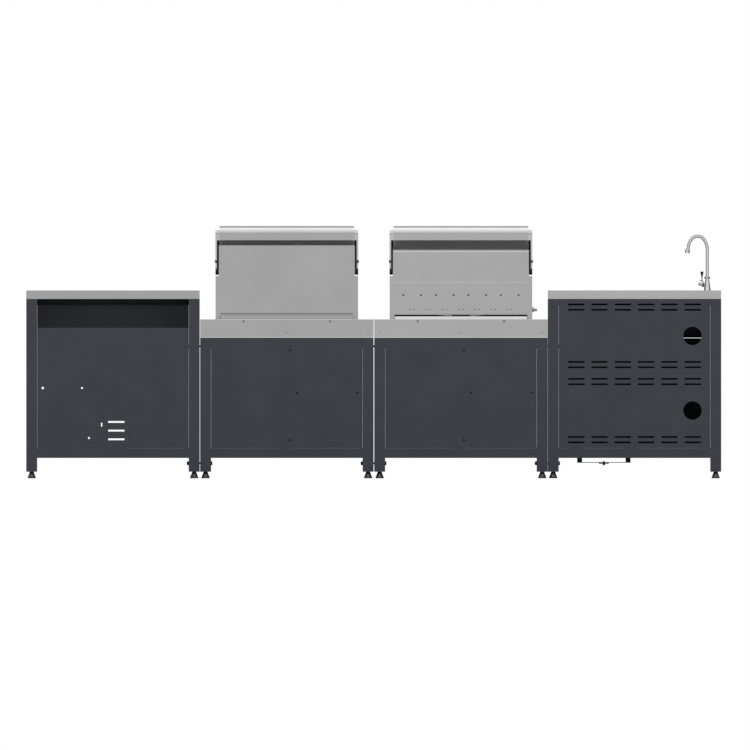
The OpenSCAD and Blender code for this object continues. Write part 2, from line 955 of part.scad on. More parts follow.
module charcoal_firebox() {
    half = box_w / 2;
    color(steel)
        at_unit(charcoal_index)
            difference() {
                union() {
                    firebox_walls(charcoal_wall_z);
                    // Floor with a wide slot over the ash tray
                    difference() {
                        block([-half + over, -box_front + over, ash_floor_z],
                            [half - over, -box_inset - over, ash_floor_z + box_t]);
                        block([-ash_slot_w / 2, box_mid_y - ash_slot_d / 2, ash_floor_z - over],
                            [ash_slot_w / 2, box_mid_y + ash_slot_d / 2, ash_floor_z + box_t + over]);
                    }
                }
                pivot_cut();
                // Mouths for the ash tray, in front and in the rear wall
                block([-tray_w / 2 - tray_gap, -box_front - over, surround_z - over],
                    [tray_w / 2 + tray_gap, -box_front + box_t + over, surround_z + ash_h + ash_gap]);
                block([-tray_w / 2 - tray_gap, -box_inset - box_t - over, surround_z - over],
                    [tray_w / 2 + tray_gap, -box_inset + over, surround_z + ash_h + ash_gap]);
                // Bearing for the crank
                translate([0, 0, crank_z])
                    rod_y(-box_front - over, -box_inset - 2 * box_t, crank_r + fit);
            }
}

ash_floor_z = 817;
ash_slot_w = 420;
ash_slot_d = 260;
crank_z = 840;
crank_r = 6;

module gas_firebox() {
    half = box_w / 2;
    color(steel)
        at_unit(gas_index)
            difference() {
                union() {
                    firebox_walls(gas_wall_z);
                    // Floor that slopes down to the drain over the grease tray
                    both_sides()
                        along_y(-box_front + over, -box_inset - over)
                            polygon([[drain_w / 2, floor_z], [half - over, floor_z + floor_slope],
                                [half - over, floor_z + floor_slope + box_t],
                                [drain_w / 2, floor_z + box_t]]);
                    // Ledges for the flame tamers
                    for (y = [-box_inset - tamer_seat, -box_front])
                        block([-half + over, y, tamer_z - rest_gap - box_t],
                            [half - over, y + tamer_seat, tamer_z - rest_gap]);
                    // Rear ledge for the burners
                    block([-half + over, -box_inset - ledge_w, burner_z - burner_r - rest_gap - box_t],
                        [half - over, -box_inset, burner_z - burner_r - rest_gap]);
                }
                pivot_cut();
                // Mouth for the grease tray
                block([-tray_w / 2 - tray_gap, -box_inset - box_t - over, surround_z - over],
                    [tray_w / 2 + tray_gap, -box_inset + over, tray_slot_z]);
                // Holes for the burners
                for (k = [0:3])
                    translate([burner_x(k), 0, burner_z])
                        rod_y(-box_front - over, -box_front + box_t + over, burner_r + hole_gap);
                // Cooling slots in pairs, low in the rear wall
                for (k = [-3:3], s = [-1, 1])
                    translate([k * burner_pitch / 2 + s * slit_off, -box_inset, slit_z])
                        cube([slit_w, 2 * box_t + over, slit_h], center = true);
            }
}

slit_z = 832;
slit_w = 8;
slit_h = 3;
slit_off = 10;

function burner_x(k) = (k - 1.5) * burner_pitch;

// Grates
bar = 8;
grate_h = 12;
grate_gap = 2;
grate_y = -box_front + box_t + grate_gap;
grate_l = box_d - 2 * box_t - 2 * grate_gap;
gas_bars = 11;
grate_count = 3;
rod_count = 15;
rod_r = 3;

module gas_grates() {
    wide = (2 * upper_in - (grate_count + 1) * grate_gap) / grate_count;
    color(iron)
        at_unit(gas_index)
            for (g = [0:grate_count - 1])
                translate([-upper_in + grate_gap + g * (wide + grate_gap), grate_y, ledge_z]) {
                    for (k = [0:gas_bars - 1])
                        translate([k * (wide - bar) / (gas_bars - 1), 0, 0])
                            cube([bar, grate_l, grate_h]);
                    for (y = [0, (grate_l - bar) / 2, grate_l - bar])
                        translate([0, y, 0])
                            cube([wide, bar, grate_h - bar / 2]);
                }
}

module charcoal_grates() {
    wide = (2 * upper_in - (grate_count + 1) * grate_gap) / grate_count;
    color(steel)
        at_unit(charcoal_index)
            for (g = [0:grate_count - 1])
                translate([-upper_in + grate_gap + g * (wide + grate_gap), grate_y, ledge_z]) {
                    for (k = [0:rod_count - 1])
                        translate([rod_r + k * (wide - 2 * rod_r) / (rod_count - 1), 0, bar])
                            rod_y(0, grate_l, rod_r);
                    for (y = [0, (grate_l - bar) / 2, grate_l - bar])
                        translate([0, y, 0])
                            cube([wide, bar, bar]);
                }
}

// Burner tubes with a crown of port slots, and flame tamers above them
port_w = 3;
port_h = 5;
port_z = 3;
port_pitch = 26;
port_count = 14;
tamer_w = 62;
tamer_h = 24;
tamer_z = 915;
tamer_t = 2;
tamer_seat = 12;

module gas_burners() {
    front = box_front + burner_nose;
    color(steel)
        at_unit(gas_index)
            for (k = [0:3])
                translate([burner_x(k), 0, burner_z])
                    difference() {
                        rod_y(-front, -box_inset - box_t - rest_gap, burner_r);
                        rod_y(-front - over, -box_inset - ledge_w, burner_r - tamer_t);
                        // Flame ports, cut across both flanks
                        for (p = [0:port_count - 1])
                            translate([0, box_mid_y + (p - (port_count - 1) / 2) * port_pitch, port_z])
                                cube([2 * burner_r + over, port_w, port_h], center = true);
                    }
}

burner_nose = 12;

module flame_tamers() {
    color(steel)
        at_unit(gas_index)
            for (k = [0:3])
                translate([burner_x(k), 0, tamer_z])
                    along_y(grate_y, grate_y + grate_l)
                        polygon([[-tamer_w / 2, 0], [0, tamer_h], [tamer_w / 2, 0],
                            [tamer_w / 2 - tamer_t, 0], [0, tamer_h - tamer_t], [-tamer_w / 2 + tamer_t, 0]]);
}

// Rear burner: a shallow box with a radiant face on the upper rear wall
rear_w = 560;
rear_h = 72;
rear_t = 26;
rear_z = 1030;
rear_frame = 10;
rear_face_in = 4;

module rear_burner() {
    back = -box_inset - box_t;
    color(steel)
        at_unit(gas_index)
            difference() {
                block([-rear_w / 2, back - rear_t, rear_z], [rear_w / 2, back, rear_z + rear_h]);
                block([-rear_w / 2 + rear_frame, back - rear_t - over, rear_z + rear_frame],
                    [rear_w / 2 - rear_frame, back - rear_t + rear_face_in, rear_z + rear_h - rear_frame]);
            }
}

// Manifold with valve bodies and the gas inlet at the side
valve_r = 12;
valve_l = 30;
neck_r = 8;
jet_r = 5;
knob_z = 885;
manifold_in = 40;
knob_shares = [-1.5, -0.5, 0, 0.5, 1.5];
hex_r = 12;
hex_l = 10;

module gas_manifold() {
    pipe_y = -panel_face + manifold_in;
    reach = box_w / 2 + inlet_l;
    color(steel)
        at_unit(gas_index)
            difference() {
                union() {
                    translate([0, pipe_y, manifold_z]) {
                        rod_x(-box_w / 2 + 2 * box_t, box_w / 2 - 3 * box_t, manifold_r);
                        rod_x(-reach, -box_w / 2 + 3 * box_t, inlet_r);
                        translate([-box_w / 2 - hex_l - rest_gap, 0, 0])
                            rotate([0, 90, 0])
                                cylinder(h = hex_l, r = hex_r, $fn = 6);
                    }
                    for (s = knob_shares)
                        translate([s * burner_pitch, pipe_y, manifold_z]) {
                            cylinder(h = knob_z - manifold_z, r = neck_r);
                            translate([0, 0, knob_z - manifold_z]) {
                                rod_y(-valve_l + valve_r, valve_r, valve_r);
                                if (s != 0)
                                    rod_y(0, panel_face - manifold_in - box_front, jet_r);
                            }
                        }
                }
                for (s = knob_shares)
                    translate([s * burner_pitch, pipe_y, knob_z])
                        rod_y(-valve_l - over, 0, stem_r + fit);
                translate([0, pipe_y, manifold_z])
                    rod_x(-reach - over, -box_w / 2, inlet_r - skin);
            }
}

module knob(k) {
    color(black)
        at_unit(gas_index)
            translate([knob_shares[k] * burner_pitch, 0, knob_z]) {
                // Stem into the valve
                rod_y(-panel_face - knob_l / 2, -panel_face + manifold_in - valve_r, stem_r);
                // Skirt and grip
                translate([0, -panel_face - rest_gap, 0])
                    rotate([90, 0, 0])
                        rotate_extrude()
                            polygon([[0, 0], [knob_r, 0], [knob_r, knob_skirt],
                                [knob_grip_r + knob_skirt, knob_skirt * 2],
                                [knob_grip_r, knob_top - knob_skirt],
                                [knob_grip_r - knob_skirt / 2, knob_top], [0, knob_top]]);
            }
}

knob_skirt = 4;
knob_grip_r = 14;
knob_top = knob_l - rest_gap;

// Front panels: folded stainless boxes in front of the fireboxes
module front_shell() {
    half = box_w / 2;
    difference() {
        along_x(-half, half)
            front_profile(0);
        along_x(-half + skin, half - skin)
            front_profile(skin);
    }
}

front_r = 18;

module front_profile(inset) {
    back = -box_front - (inset > 0 ? -over : rest_gap);
    low = front_low_z + inset;
    high = front_top_z - inset;
    face = -panel_face + inset;
    r = front_r - inset;
    translate([face, low])
        square([back - face, high - r - low]);
    translate([face + r, low])
        square([back - face - r, high - low]);
    translate([face + r, high - r])
        circle(r = r);
}

module gas_control_panel() {
    color(steel)
        at_unit(gas_index)
            difference() {
                front_shell();
                for (s = knob_shares)
                    translate([s * burner_pitch, 0, knob_z])
                        rod_y(-panel_face - over, -panel_face + skin + over, stem_r + hole_gap);
                translate([0, -panel_face + manifold_in, manifold_z])
                    rod_x(-box_w, 0, inlet_r + hole_gap);
            }
}

module charcoal_front_panel() {
    color(steel)
        at_unit(charcoal_index)
            difference() {
                front_shell();
                translate([0, 0, crank_z])
                    rod_y(-panel_face - over, -panel_face + skin + over, crank_r + fit);
            }
}

// Trays
tray_t = 1.5;
grip_lip = 10;

module pan(low, high, wall) {
    difference() {
        block(low, high);
        block(low + [wall, wall, wall], high + [-wall, -wall, over]);
    }
}

module gas_grease_tray() {
    back = -box_inset - tray_gap / 2;
    color(steel)
        at_unit(gas_index) {
            pan([-tray_w / 2, back - tray_d, surround_z + rest_gap],
                [tray_w / 2, back, surround_z + rest_gap + tray_h], tray_t);
            block([-tray_w / 2, back - tray_t, surround_z + rest_gap],
                [tray_w / 2, back + grip_lip, surround_z + rest_gap + tray_t]);
        }
}

module ash_tray() {
    face = -panel_face;
    top = front_low_z - tray_gap;
    color(steel)
        at_unit(charcoal_index) {
            pan([-tray_w / 2, face + tray_t, surround_z + rest_gap],
                [tray_w / 2, -box_inset - tray_gap / 2, surround_z + ash_h - ash_gap], tray_t);
            block([-box_w / 2 + tray_gap, face, surround_z + rest_gap],
                [box_w / 2 - tray_gap, face + 2 * tray_t, top]);
            // Folded lip to pull the tray by
            block([-box_w / 2 + tray_gap, -unit_d, top - tray_t],
                [box_w / 2 - tray_gap, face + tray_t, top]);
        }
}

// Charcoal pan on its four feet, lifted by the crank
pan_w = 640;
pan_room = 37.5;
pan_d = box_d - 2 * pan_room;
pan_h = 40;
pan_foot = 30;
pan_z = 852;
pan_slot_w = 8;
pan_slots = 13;
pan_slot_pitch = (pan_w - 2 * pan_foot) / pan_slots;

module charcoal_pan() {
    color(iron)
        at_unit(charcoal_index)
            difference() {
                union() {
                    pan([-pan_w / 2, box_mid_y - pan_d / 2, pan_z],
                        [pan_w / 2, box_mid_y + pan_d / 2, pan_z + pan_h], box_t);
                    for (x = [-1, 1], y = [-1, 1])
                        translate([x * (pan_w - pan_foot) / 2, box_mid_y + y * (pan_d - pan_foot) / 2, 0])
                            block([-pan_foot / 2, -pan_foot / 2, ash_floor_z + box_t + rest_gap],
                                [pan_foot / 2, pan_foot / 2, pan_z + over]);
                }
                for (k = [0:pan_slots - 1])
                    translate([(k - (pan_slots - 1) / 2) * pan_slot_pitch, box_mid_y, pan_z])
                        cube([pan_slot_w, pan_d - 2 * pan_foot, 3 * box_t], center = true);
            }
}

crank_arm = 24;
crank_arm_w = 16;
crank_arm_t = 6;
crank_grip_r = 8;

module lift_crank() {
    face = -panel_face - rest_gap;
    color(steel)
        at_unit(charcoal_index)
            translate([0, 0, crank_z]) {
                rod_y(face - crank_arm_t, -box_inset - box_t - rest_gap, crank_r);
                translate([0, face - crank_arm_t, 0])
                    rotate([-90, 0, 0])
                        cylinder(h = crank_arm_t, r = crank_arm_w / 2);
                translate([-crank_arm_w / 2, face - crank_arm_t, 0])
                    cube([crank_arm_w, crank_arm_t, crank_arm]);
                translate([0, 0, crank_arm])
                    rod_y(face - crank_arm_t, face, crank_arm_w / 2);
                translate([0, 0, crank_arm])
                    rod_y(-unit_d - front_reach, face - crank_arm_t, crank_grip_r);
            }
}

// Doors: pans with a round pivot stile and a folded finger pull
door_w = post_in - door_gap - door_gap / 2;

module door() {
    // Drawn from the pivot axis towards the free edge, front face at y = -door_t / 2
    r = door_t / 2;
    free = door_w - r;
    low = rail_top + door_foot_gap;
    high = door_top_z;
    difference() {
        union() {
            translate([0, 0, low])
                cylinder(h = high - low, r = r);
            difference() {
                block([0, -r, low], [free - pull_w, r, high]);
                block([r + sheet, -r + sheet, low + sheet], [free - pull_w - sheet, r + over, high - sheet]);
            }
            // Lip over the finger recess, and the stop flange behind it
            block([free - pull_w - over, -r, low], [free - pull_w + pull_lip, -r + sheet, high]);
            block([free - pull_w - over, r - sheet, low], [free, r, high]);
        }
        for (z = [low - over, high - pin_in])
            translate([0, 0, z])
                cylinder(h = pin_in + over, r = door_pin_r + fit);
    }
}

pin_in = 18;

module hung_door(i, side) {
    color(slate)
        at_unit(i)
            translate([side * (post_in - door_gap - door_t / 2), -unit_d + door_t / 2, 0])
                mirror([side > 0 ? 1 : 0, 0, 0])
                    door();
}

// Pivot pins of the doors and pivot bolts of the hoods
pin_washer_r = 9;

module pivot_pins() {
    color(steel) {
        for (i = [charcoal_index, gas_index, sink_index], x = [-1, 1])
            at_unit(i)
                translate([x * (post_in - door_gap - door_t / 2), -unit_d + door_t / 2, 0])
                    door_pins(i == sink_index ? fascia_z : low_z);
        for (i = [charcoal_index, gas_index])
            at_unit(i)
                both_sides()
                    translate([0, -pivot_in, pivot_z])
                        hood_bolt();
    }
}

module door_pins(top) {
    translate([0, 0, rail_top]) {
        cylinder(h = door_foot_gap + pin_in - over, r = door_pin_r);
        cylinder(h = door_foot_gap - rest_gap, r = pin_washer_r);
    }
    translate([0, 0, door_top_z - pin_in + over])
        cylinder(h = top - door_top_z + pin_in - over, r = door_pin_r);
    translate([0, 0, door_top_z + rest_gap])
        cylinder(h = top - door_top_z - rest_gap, r = pin_washer_r);
}

bolt_head_r = 7.5;
bolt_head_h = 3;
hood_nut_h = 6;

module hood_bolt() {
    rod_x(upper_in - hood_nut_h, hood_w / 2 + rest_gap + bolt_head_h, hood_pin_r);
    rod_x(upper_in - hood_nut_h, upper_in, bolt_head_r);
    rod_x(upper_w / 2, hood_w / 2 - cheek_t - rest_gap, bolt_head_r);
    rod_x(hood_w / 2 + rest_gap, hood_w / 2 + rest_gap + bolt_head_h, bolt_head_r);
}

// Joining bolts through the posts of neighbouring units
head_h = 6.4;
head_r = 9.8;
nut_h = 8;
bolt_tail = 2;

module joining_bolt(x, gap) {
    translate([x, 0, 0]) {
        rod_x(-tube - head_h, tube + gap + nut_h + bolt_tail, bolt_r);
        translate([-tube - head_h, 0, 0])
            rotate([0, 90, 0])
                cylinder(h = head_h, r = head_r, $fn = 6);
        translate([tube + gap, 0, 0])
            rotate([0, 90, 0])
                cylinder(h = nut_h, r = head_r, $fn = 6);
    }
}

module joining_bolts() {
    joints = [[sink_x, gap_sink], [gas_x, gap_grill], [charcoal_x, gap_store]];
    color(black)
        for (j = joints, y = [bolt_in, unit_d - bolt_in], z = [bolt_low_z, bolt_high_z])
            translate([0, rear_y - y, z])
                joining_bolt(j[0] + unit_w / 2, j[1]);
}

// Hoods: a rolled front skin, a lower rear skin and two cheeks that turn about the pivot bolts
pivot_y = -pivot_in;
hood_round = pivot_z - shoulder_z - hood_clear;
hood_front = -box_front - hood_clear;
hood_back = pivot_y + hood_round;
hood_low = pivot_z - hood_round;
crown_share = 0.55;
crown_y = hood_front * crown_share;

module cheek_outline(inset) {
    hood_outline(cheek_z, hood_rear_r, inset);
}

module hood_outline(top, rear_r, inset) {
    fr = hood_front_r - inset;
    rr = rear_r - inset;
    lap = hood_round / 2;
    translate([pivot_y, pivot_z])
        circle(r = hood_round - inset);
    translate([hood_front + inset, hood_low])
        square([pivot_y - hood_front - inset, top - hood_front_r - hood_low]);
    translate([hood_front + hood_front_r, hood_low])
        square([pivot_y - hood_front - hood_front_r, top - inset - hood_low]);
    translate([pivot_y - lap, pivot_z])
        square([hood_back - rear_r - pivot_y + lap, top - inset - pivot_z]);
    translate([pivot_y - lap, pivot_z])
        square([hood_back - inset - pivot_y + lap, top - rear_r - pivot_z]);
    translate([hood_front + hood_front_r, top - hood_front_r])
        circle(r = fr);
    translate([hood_back - rear_r, top - rear_r])
        circle(r = rr);
}

module hood_ring(top, rear_r, thick) {
    difference() {
        hood_outline(top, rear_r, 0);
        hood_outline(top, rear_r, thick);
    }
}

module hood_body() {
    half = hood_w / 2;
    inner = half - cap_w;
    rear_top = crown_z - crown_step;
    both_sides() {
        difference() {
            along_x(half - cheek_t, half)
                cheek_outline(0);
            translate([0, pivot_y, pivot_z])
                rod_x(inner, half + over, hood_pin_r + fit);
        }
        // Folded cap round the front and the top of the cheek
        along_x(inner, half)
            intersection() {
                hood_ring(cheek_z, hood_rear_r, hood_t);
                union() {
                    translate([hood_front, hood_low])
                        square([hood_front_r, crown_z - hood_low]);
                    translate([hood_front, hood_rear_z])
                        square([hood_back - hood_front, crown_z - hood_rear_z]);
                }
            }
    }
    // Front skin up to the crown
    along_x(-inner - over, inner + over)
        intersection() {
            hood_ring(crown_z, hood_rear_r, hood_t);
            translate([hood_front, hood_low])
                square([crown_y - hood_front, crown_z - hood_low]);
        }
    // Step behind the crown
    along_x(-inner - over, inner + over)
        translate([crown_y - hood_t, rear_top - hood_t])
            square([hood_t, crown_z - rear_top + hood_t]);
    // Rear skin
    along_x(-inner - over, inner + over)
        intersection() {
            hood_ring(rear_top, hood_rear_r, hood_t);
            translate([crown_y - hood_t, hood_rear_z])
                square([hood_back - crown_y + hood_t, crown_z - hood_rear_z]);
        }
}

gauge_stem_r = 4;
gauge_t = 12;
gauge_l = 60;
gauge_z = 1096;
handle_z = 1036;
handle_w = 560;
handle_foot_w = 20;
handle_screw_r = 4;

module hood(i) {
    color(steel)
        at_unit(i)
            difference() {
                hood_body();
                translate([0, 0, gauge_z])
                    rod_y(hood_front - over, hood_front + hood_t + over, gauge_stem_r + hole_gap);
                for (x = [-1, 1])
                    translate([x * (handle_w / 2 - handle_foot_w), 0, handle_z])
                        rod_y(hood_front - over, hood_front + hood_t + over, handle_screw_r + hole_gap);
            }
}

module hood_handle(i) {
    bar_y = hood_front - handle_out;
    color(steel)
        at_unit(i) {
            translate([0, bar_y, handle_z])
                rod_x(-handle_w / 2, handle_w / 2, handle_r);
            for (x = [-1, 1])
                translate([x * (handle_w / 2 - handle_foot_w), 0, handle_z]) {
                    rod_y(bar_y, hood_front, handle_foot_w / 2);
                    rod_y(bar_y, hood_front + 3 * hood_t, handle_screw_r);
                }
        }
}

module gauge(i) {
    color(steel)
        at_unit(i)
            translate([0, hood_front, gauge_z]) {
                rotate([90, 0, 0])
                    rotate_extrude()
                        polygon([[0, 0], [gauge_r - 2 * hood_t, 0], [gauge_r, hood_t], [gauge_r, gauge_t],
                            [gauge_r - hood_t, gauge_t], [gauge_r - hood_t, gauge_t - hood_t / 2],
                            [0, gauge_t - hood_t / 2]]);
                rod_y(-over, gauge_l, gauge_stem_r);
            }
}

module charcoal_hood() {
    hood(charcoal_index);
}

module gas_hood() {
    hood(gas_index);
}

levelling_feet();
posts(store_index);  // store_posts
posts(charcoal_index);  // charcoal_posts
posts(gas_index);  // gas_posts
posts(sink_index);  // sink_posts
tall_rails();
low_rails();
tall_side_panels();
low_side_panels();
cabinet_floors();
store_rear_panel();
charcoal_rear_panel();
gas_rear_panel();
sink_rear_upper();
sink_rear_lower();
cabinet_fascias();
store_worktop();
sink_worktop();
charcoal_surround();
gas_surround();
charcoal_front_panel();
gas_control_panel();
charcoal_firebox();
gas_firebox();
charcoal_grates();
gas_grates();
gas_burners();
gas_manifold();
flame_tamers();
rear_burner();
sink_basin();
basin_waste();
faucet_body();
cylinder_cradle();
joining_bolts();
pivot_pins();
hung_door(sink_index, -1);  // sink_door_left
hung_door(sink_index, 1);  // sink_door_right
hung_door(charcoal_index, -1);  // charcoal_door_left
hung_door(charcoal_index, 1);  // charcoal_door_right
hung_door(gas_index, -1);  // gas_door_left
hung_door(gas_index, 1);  // gas_door_right
knob(0);  // gas_knob_1
knob(1);  // gas_knob_2
knob(2);  // gas_knob_3
knob(3);  // gas_knob_4
knob(4);  // gas_knob_5
charcoal_hood();
gas_hood();
hood_handle(charcoal_index);  // charcoal_hood_handle
hood_handle(gas_index);  // gas_hood_handle
gauge(charcoal_index);  // charcoal_gauge
gauge(gas_index);  // gas_gauge
faucet_spout();
faucet_lever();
gas_grease_tray();
ash_tray();
charcoal_pan();
lift_crank();
cradle_screw();
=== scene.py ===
"""Looks of the modular outdoor kitchen: finishes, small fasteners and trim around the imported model.

Metres, in the model's own frame. The cooks stand on the -Y side; the photograph looks along -Y at the back,
with no perspective. Named lengths are in millimetres, but those of the stage, lamp and camera are in metres.
"""
import json
import math

import bmesh
import bpy
from mathutils import Matrix, Vector


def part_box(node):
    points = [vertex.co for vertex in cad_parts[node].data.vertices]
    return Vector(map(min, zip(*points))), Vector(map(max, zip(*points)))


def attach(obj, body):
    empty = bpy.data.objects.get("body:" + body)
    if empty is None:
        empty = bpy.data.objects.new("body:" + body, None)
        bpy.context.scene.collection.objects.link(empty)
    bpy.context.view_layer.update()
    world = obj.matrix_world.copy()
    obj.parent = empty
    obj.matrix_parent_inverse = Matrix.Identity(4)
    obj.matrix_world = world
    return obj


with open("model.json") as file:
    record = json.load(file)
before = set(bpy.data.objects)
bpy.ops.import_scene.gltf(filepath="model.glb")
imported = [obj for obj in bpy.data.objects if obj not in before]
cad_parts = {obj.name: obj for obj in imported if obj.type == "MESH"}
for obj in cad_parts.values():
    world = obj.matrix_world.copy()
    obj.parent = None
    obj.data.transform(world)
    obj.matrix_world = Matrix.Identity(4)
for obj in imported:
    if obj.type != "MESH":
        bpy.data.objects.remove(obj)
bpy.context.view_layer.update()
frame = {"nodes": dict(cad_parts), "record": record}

MM = 0.001

# The photograph: its frame in pixels, its scale, and the pixel that lies on the model's origin
PHOTO_PX = 750
MM_PER_PX = 4.923
ORIGIN_PX_X = 373.715
ORIGIN_PX_Y = 478.3
CAMERA_DISTANCE = 9.0

# Places taken from the frame
GRILLS = ("charcoal", "gas")
post_box = {unit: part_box(unit + "_posts") for unit in ("store", "sink", *GRILLS)}
unit_mid = {unit: (low[0] + high[0]) / 2 for unit, (low, high) in post_box.items()}
rear_y = post_box["store"][1][1]


def at(unit, x, y, z):
    """A place in one unit's own frame, in millimetres: x from its middle, y from its rear face."""
    return Vector((unit_mid[unit] + x * MM, rear_y + y * MM, z * MM))


def centre(node):
    """The middle of a node's box."""
    low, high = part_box(node)
    return tuple((a + b) / 2 for a, b in zip(low, high))


# Shader nodes

def tree(mat):
    """A material's nodes, links and shader."""
    nodes = mat.node_tree.nodes
    return nodes, mat.node_tree.links, nodes["Principled BSDF"]


def new_material(name):
    mat = bpy.data.materials.new(name)
    mat.use_nodes = True
    return (mat, *tree(mat))


def grey(value):
    return (value, value, value, 1.0)


def scaled(color, factor):
    return (color[0] * factor, color[1] * factor, color[2] * factor, 1.0)


def feed(links, sockets, values):
    """Gives each socket its value, which is a number, a colour or another node's output."""
    for socket, value in zip(sockets, values):
        if isinstance(value, (int, float, tuple)):
            socket.default_value = value
        else:
            links.new(value, socket)


def math_node(nodes, links, operation, first, second=0.0):
    node = nodes.new("ShaderNodeMath")
    node.operation = operation
    feed(links, node.inputs, (first, second))
    return node.outputs["Value"]


def mix_node(nodes, links, data_type, share, first, second):
    node = nodes.new("ShaderNodeMix")
    node.data_type = data_type
    links.new(share, node.inputs["Factor"])
    feed(links, (node.inputs["A"], node.inputs["B"]), (first, second))
    return node.outputs["Result"]


def mixed(nodes, links, share, first, second):
    """A colour that goes from the first to the second with the share."""
    return mix_node(nodes, links, "RGBA", share, first, second)


def blended(nodes, links, share, first, second):
    """A number that goes from the first to the second with the share."""
    return mix_node(nodes, links, "FLOAT", share, first, second)


def noise(nodes, links, scale, detail=3.0, stretch=(1, 1, 1)):
    """Noise in the node's own coordinates, stretched along each axis."""
    place = nodes.new("ShaderNodeTexCoord")
    mapping = nodes.new("ShaderNodeMapping")
    mapping.inputs["Scale"].default_value = stretch
    links.new(place.outputs["Object"], mapping.inputs["Vector"])
    tex = nodes.new("ShaderNodeTexNoise")
    tex.inputs["Scale"].default_value = scale
    tex.inputs["Detail"].default_value = detail
    links.new(mapping.outputs["Vector"], tex.inputs["Vector"])
    return tex.outputs["Fac"]


def ramp(nodes, links, value, low, high, start=0.3, end=0.7):
    """Spreads a noise between two colours."""
    node = nodes.new("ShaderNodeValToRGB")
    for shade, position, color in zip(node.color_ramp.elements, (start, end), (low, high)):
        shade.position = position
        shade.color = color
    links.new(value, node.inputs["Fac"])
    return node.outputs["Color"]


def spread(nodes, links, value, low, high):
    """Stretches a value of 0 to 1 between two numbers."""
    node = nodes.new("ShaderNodeMapRange")
    node.inputs["To Min"].default_value = low
    node.inputs["To Max"].default_value = high
    links.new(value, node.inputs["Value"])
    return node.outputs["Result"]


def tone_ramp(nodes, links, value, marks, interpolation):
    """A grey that follows a value of 0 to 1, by (value, tone) marks."""
    node = nodes.new("ShaderNodeValToRGB")
    node.color_ramp.interpolation = interpolation
    shades = node.color_ramp.elements
    while len(shades) < len(marks):
        shades.new(0.5)
    for k, (start, tone) in enumerate(marks):
        shades[k].position = start
        shades[k].color = grey(tone)
    links.new(value, node.inputs["Fac"])
    return node.outputs["Color"]


def steps(nodes, links, value, marks):
    """A grey that follows a length: (start in millimetres, tone) marks, each held up to the next."""
    low, high = marks[0][0] * MM, marks[-1][0] * MM
    place = nodes.new("ShaderNodeMapRange")
    place.inputs["From Min"].default_value = low
    place.inputs["From Max"].default_value = high
    links.new(value, place.inputs["Value"])
    shares = [((start * MM - low) / (high - low), tone) for start, tone in marks]
    return tone_ramp(nodes, links, place.outputs["Result"], shares, "CONSTANT")


def band(nodes, links, value, low, high):
    """One between two lengths in millimetres, zero beyond them."""
    half = (high - low) / 2
    return steps(nodes, links, value, [(low - half, 0.0), (low, 1.0), (high, 0.0), (high + half, 0.0)])


def axes(nodes, links, output):
    """The X, Y and Z of a texture coordinate."""
    place = nodes.new("ShaderNodeTexCoord")
    apart = nodes.new("ShaderNodeSeparateXYZ")
    links.new(place.outputs[output], apart.inputs["Vector"])
    return apart.outputs


def off_middle(nodes, links, value, middle):
    """How far a coordinate lies from a middle, to either side."""
    return math_node(nodes, links, "ABSOLUTE", math_node(nodes, links, "SUBTRACT", value, middle))


def squareness(nodes, links):
    """How squarely a face looks front or rear, from 0 to 1."""
    return math_node(nodes, links, "ABSOLUTE", axes(nodes, links, "Normal")["Y"])


def inner_faces(nodes, links, middle):
    """One on the faces that look towards a middle point, zero on the others."""
    place = nodes.new("ShaderNodeTexCoord")
    away = nodes.new("ShaderNodeVectorMath")
    away.operation = "SUBTRACT"
    links.new(place.outputs["Object"], away.inputs[0])
    away.inputs[1].default_value = middle
    facing_out = nodes.new("ShaderNodeVectorMath")
    facing_out.operation = "DOT_PRODUCT"
    links.new(away.outputs["Vector"], facing_out.inputs[0])
    links.new(place.outputs["Normal"], facing_out.inputs[1])
    return math_node(nodes, links, "LESS_THAN", facing_out.outputs["Value"], 0.0)


def socket_source(shader, name):
    """What already feeds a shader's socket."""
    return shader.inputs[name].links[0].from_socket


def bump(nodes, links, shader, height, strength, distance):
    node = nodes.new("ShaderNodeBump")
    node.inputs["Strength"].default_value = strength
    node.inputs["Distance"].default_value = distance
    links.new(height, node.inputs["Height"])
    links.new(node.outputs["Normal"], shader.inputs["Normal"])


# Base materials

def powder_coat(name, color, rough=0.5, specular=0.3):
    """Satin powder coat: a faint mottle, an orange-peel bump and slightly uneven gloss."""
    mat, nodes, links, shader = new_material(name)
    shader.inputs["Specular IOR Level"].default_value = specular
    mottle = noise(nodes, links, 6.0, 5.0)
    links.new(ramp(nodes, links, mottle, scaled(color, 0.94), scaled(color, 1.06)), shader.inputs["Base Color"])
    links.new(spread(nodes, links, noise(nodes, links, 40.0), rough - 0.06, rough + 0.06), shader.inputs["Roughness"])
    bump(nodes, links, shader, noise(nodes, links, 900.0, 2.0), 0.12, 0.0002)
    return mat


def brushed(name, color, rough=0.34, grain=(3, 420, 420), cloud=0.03):
    """Brushed metal: fine scratches along one axis, soft smears, uneven roughness."""
    mat, nodes, links, shader = new_material(name)
    shader.inputs["Metallic"].default_value = 1.0
    smear = noise(nodes, links, 3.0, 4.0)
    tones = ramp(nodes, links, smear, scaled(color, 1 - cloud), scaled(color, 1 + cloud))
    links.new(tones, shader.inputs["Base Color"])
    scratch = noise(nodes, links, 1.0, 4.0, grain)
    links.new(spread(nodes, links, scratch, rough - 0.08, rough + 0.08), shader.inputs["Roughness"])
    bump(nodes, links, shader, scratch, 0.08, 0.0002)
    return mat


def steel(name, tone, rough=0.34):
    return brushed(name, (tone, tone, tone), rough)


def machined(name, color):
    """A small turned part, with the same fine grain all round."""
    return brushed(name, color, 0.3, (300, 300, 300))


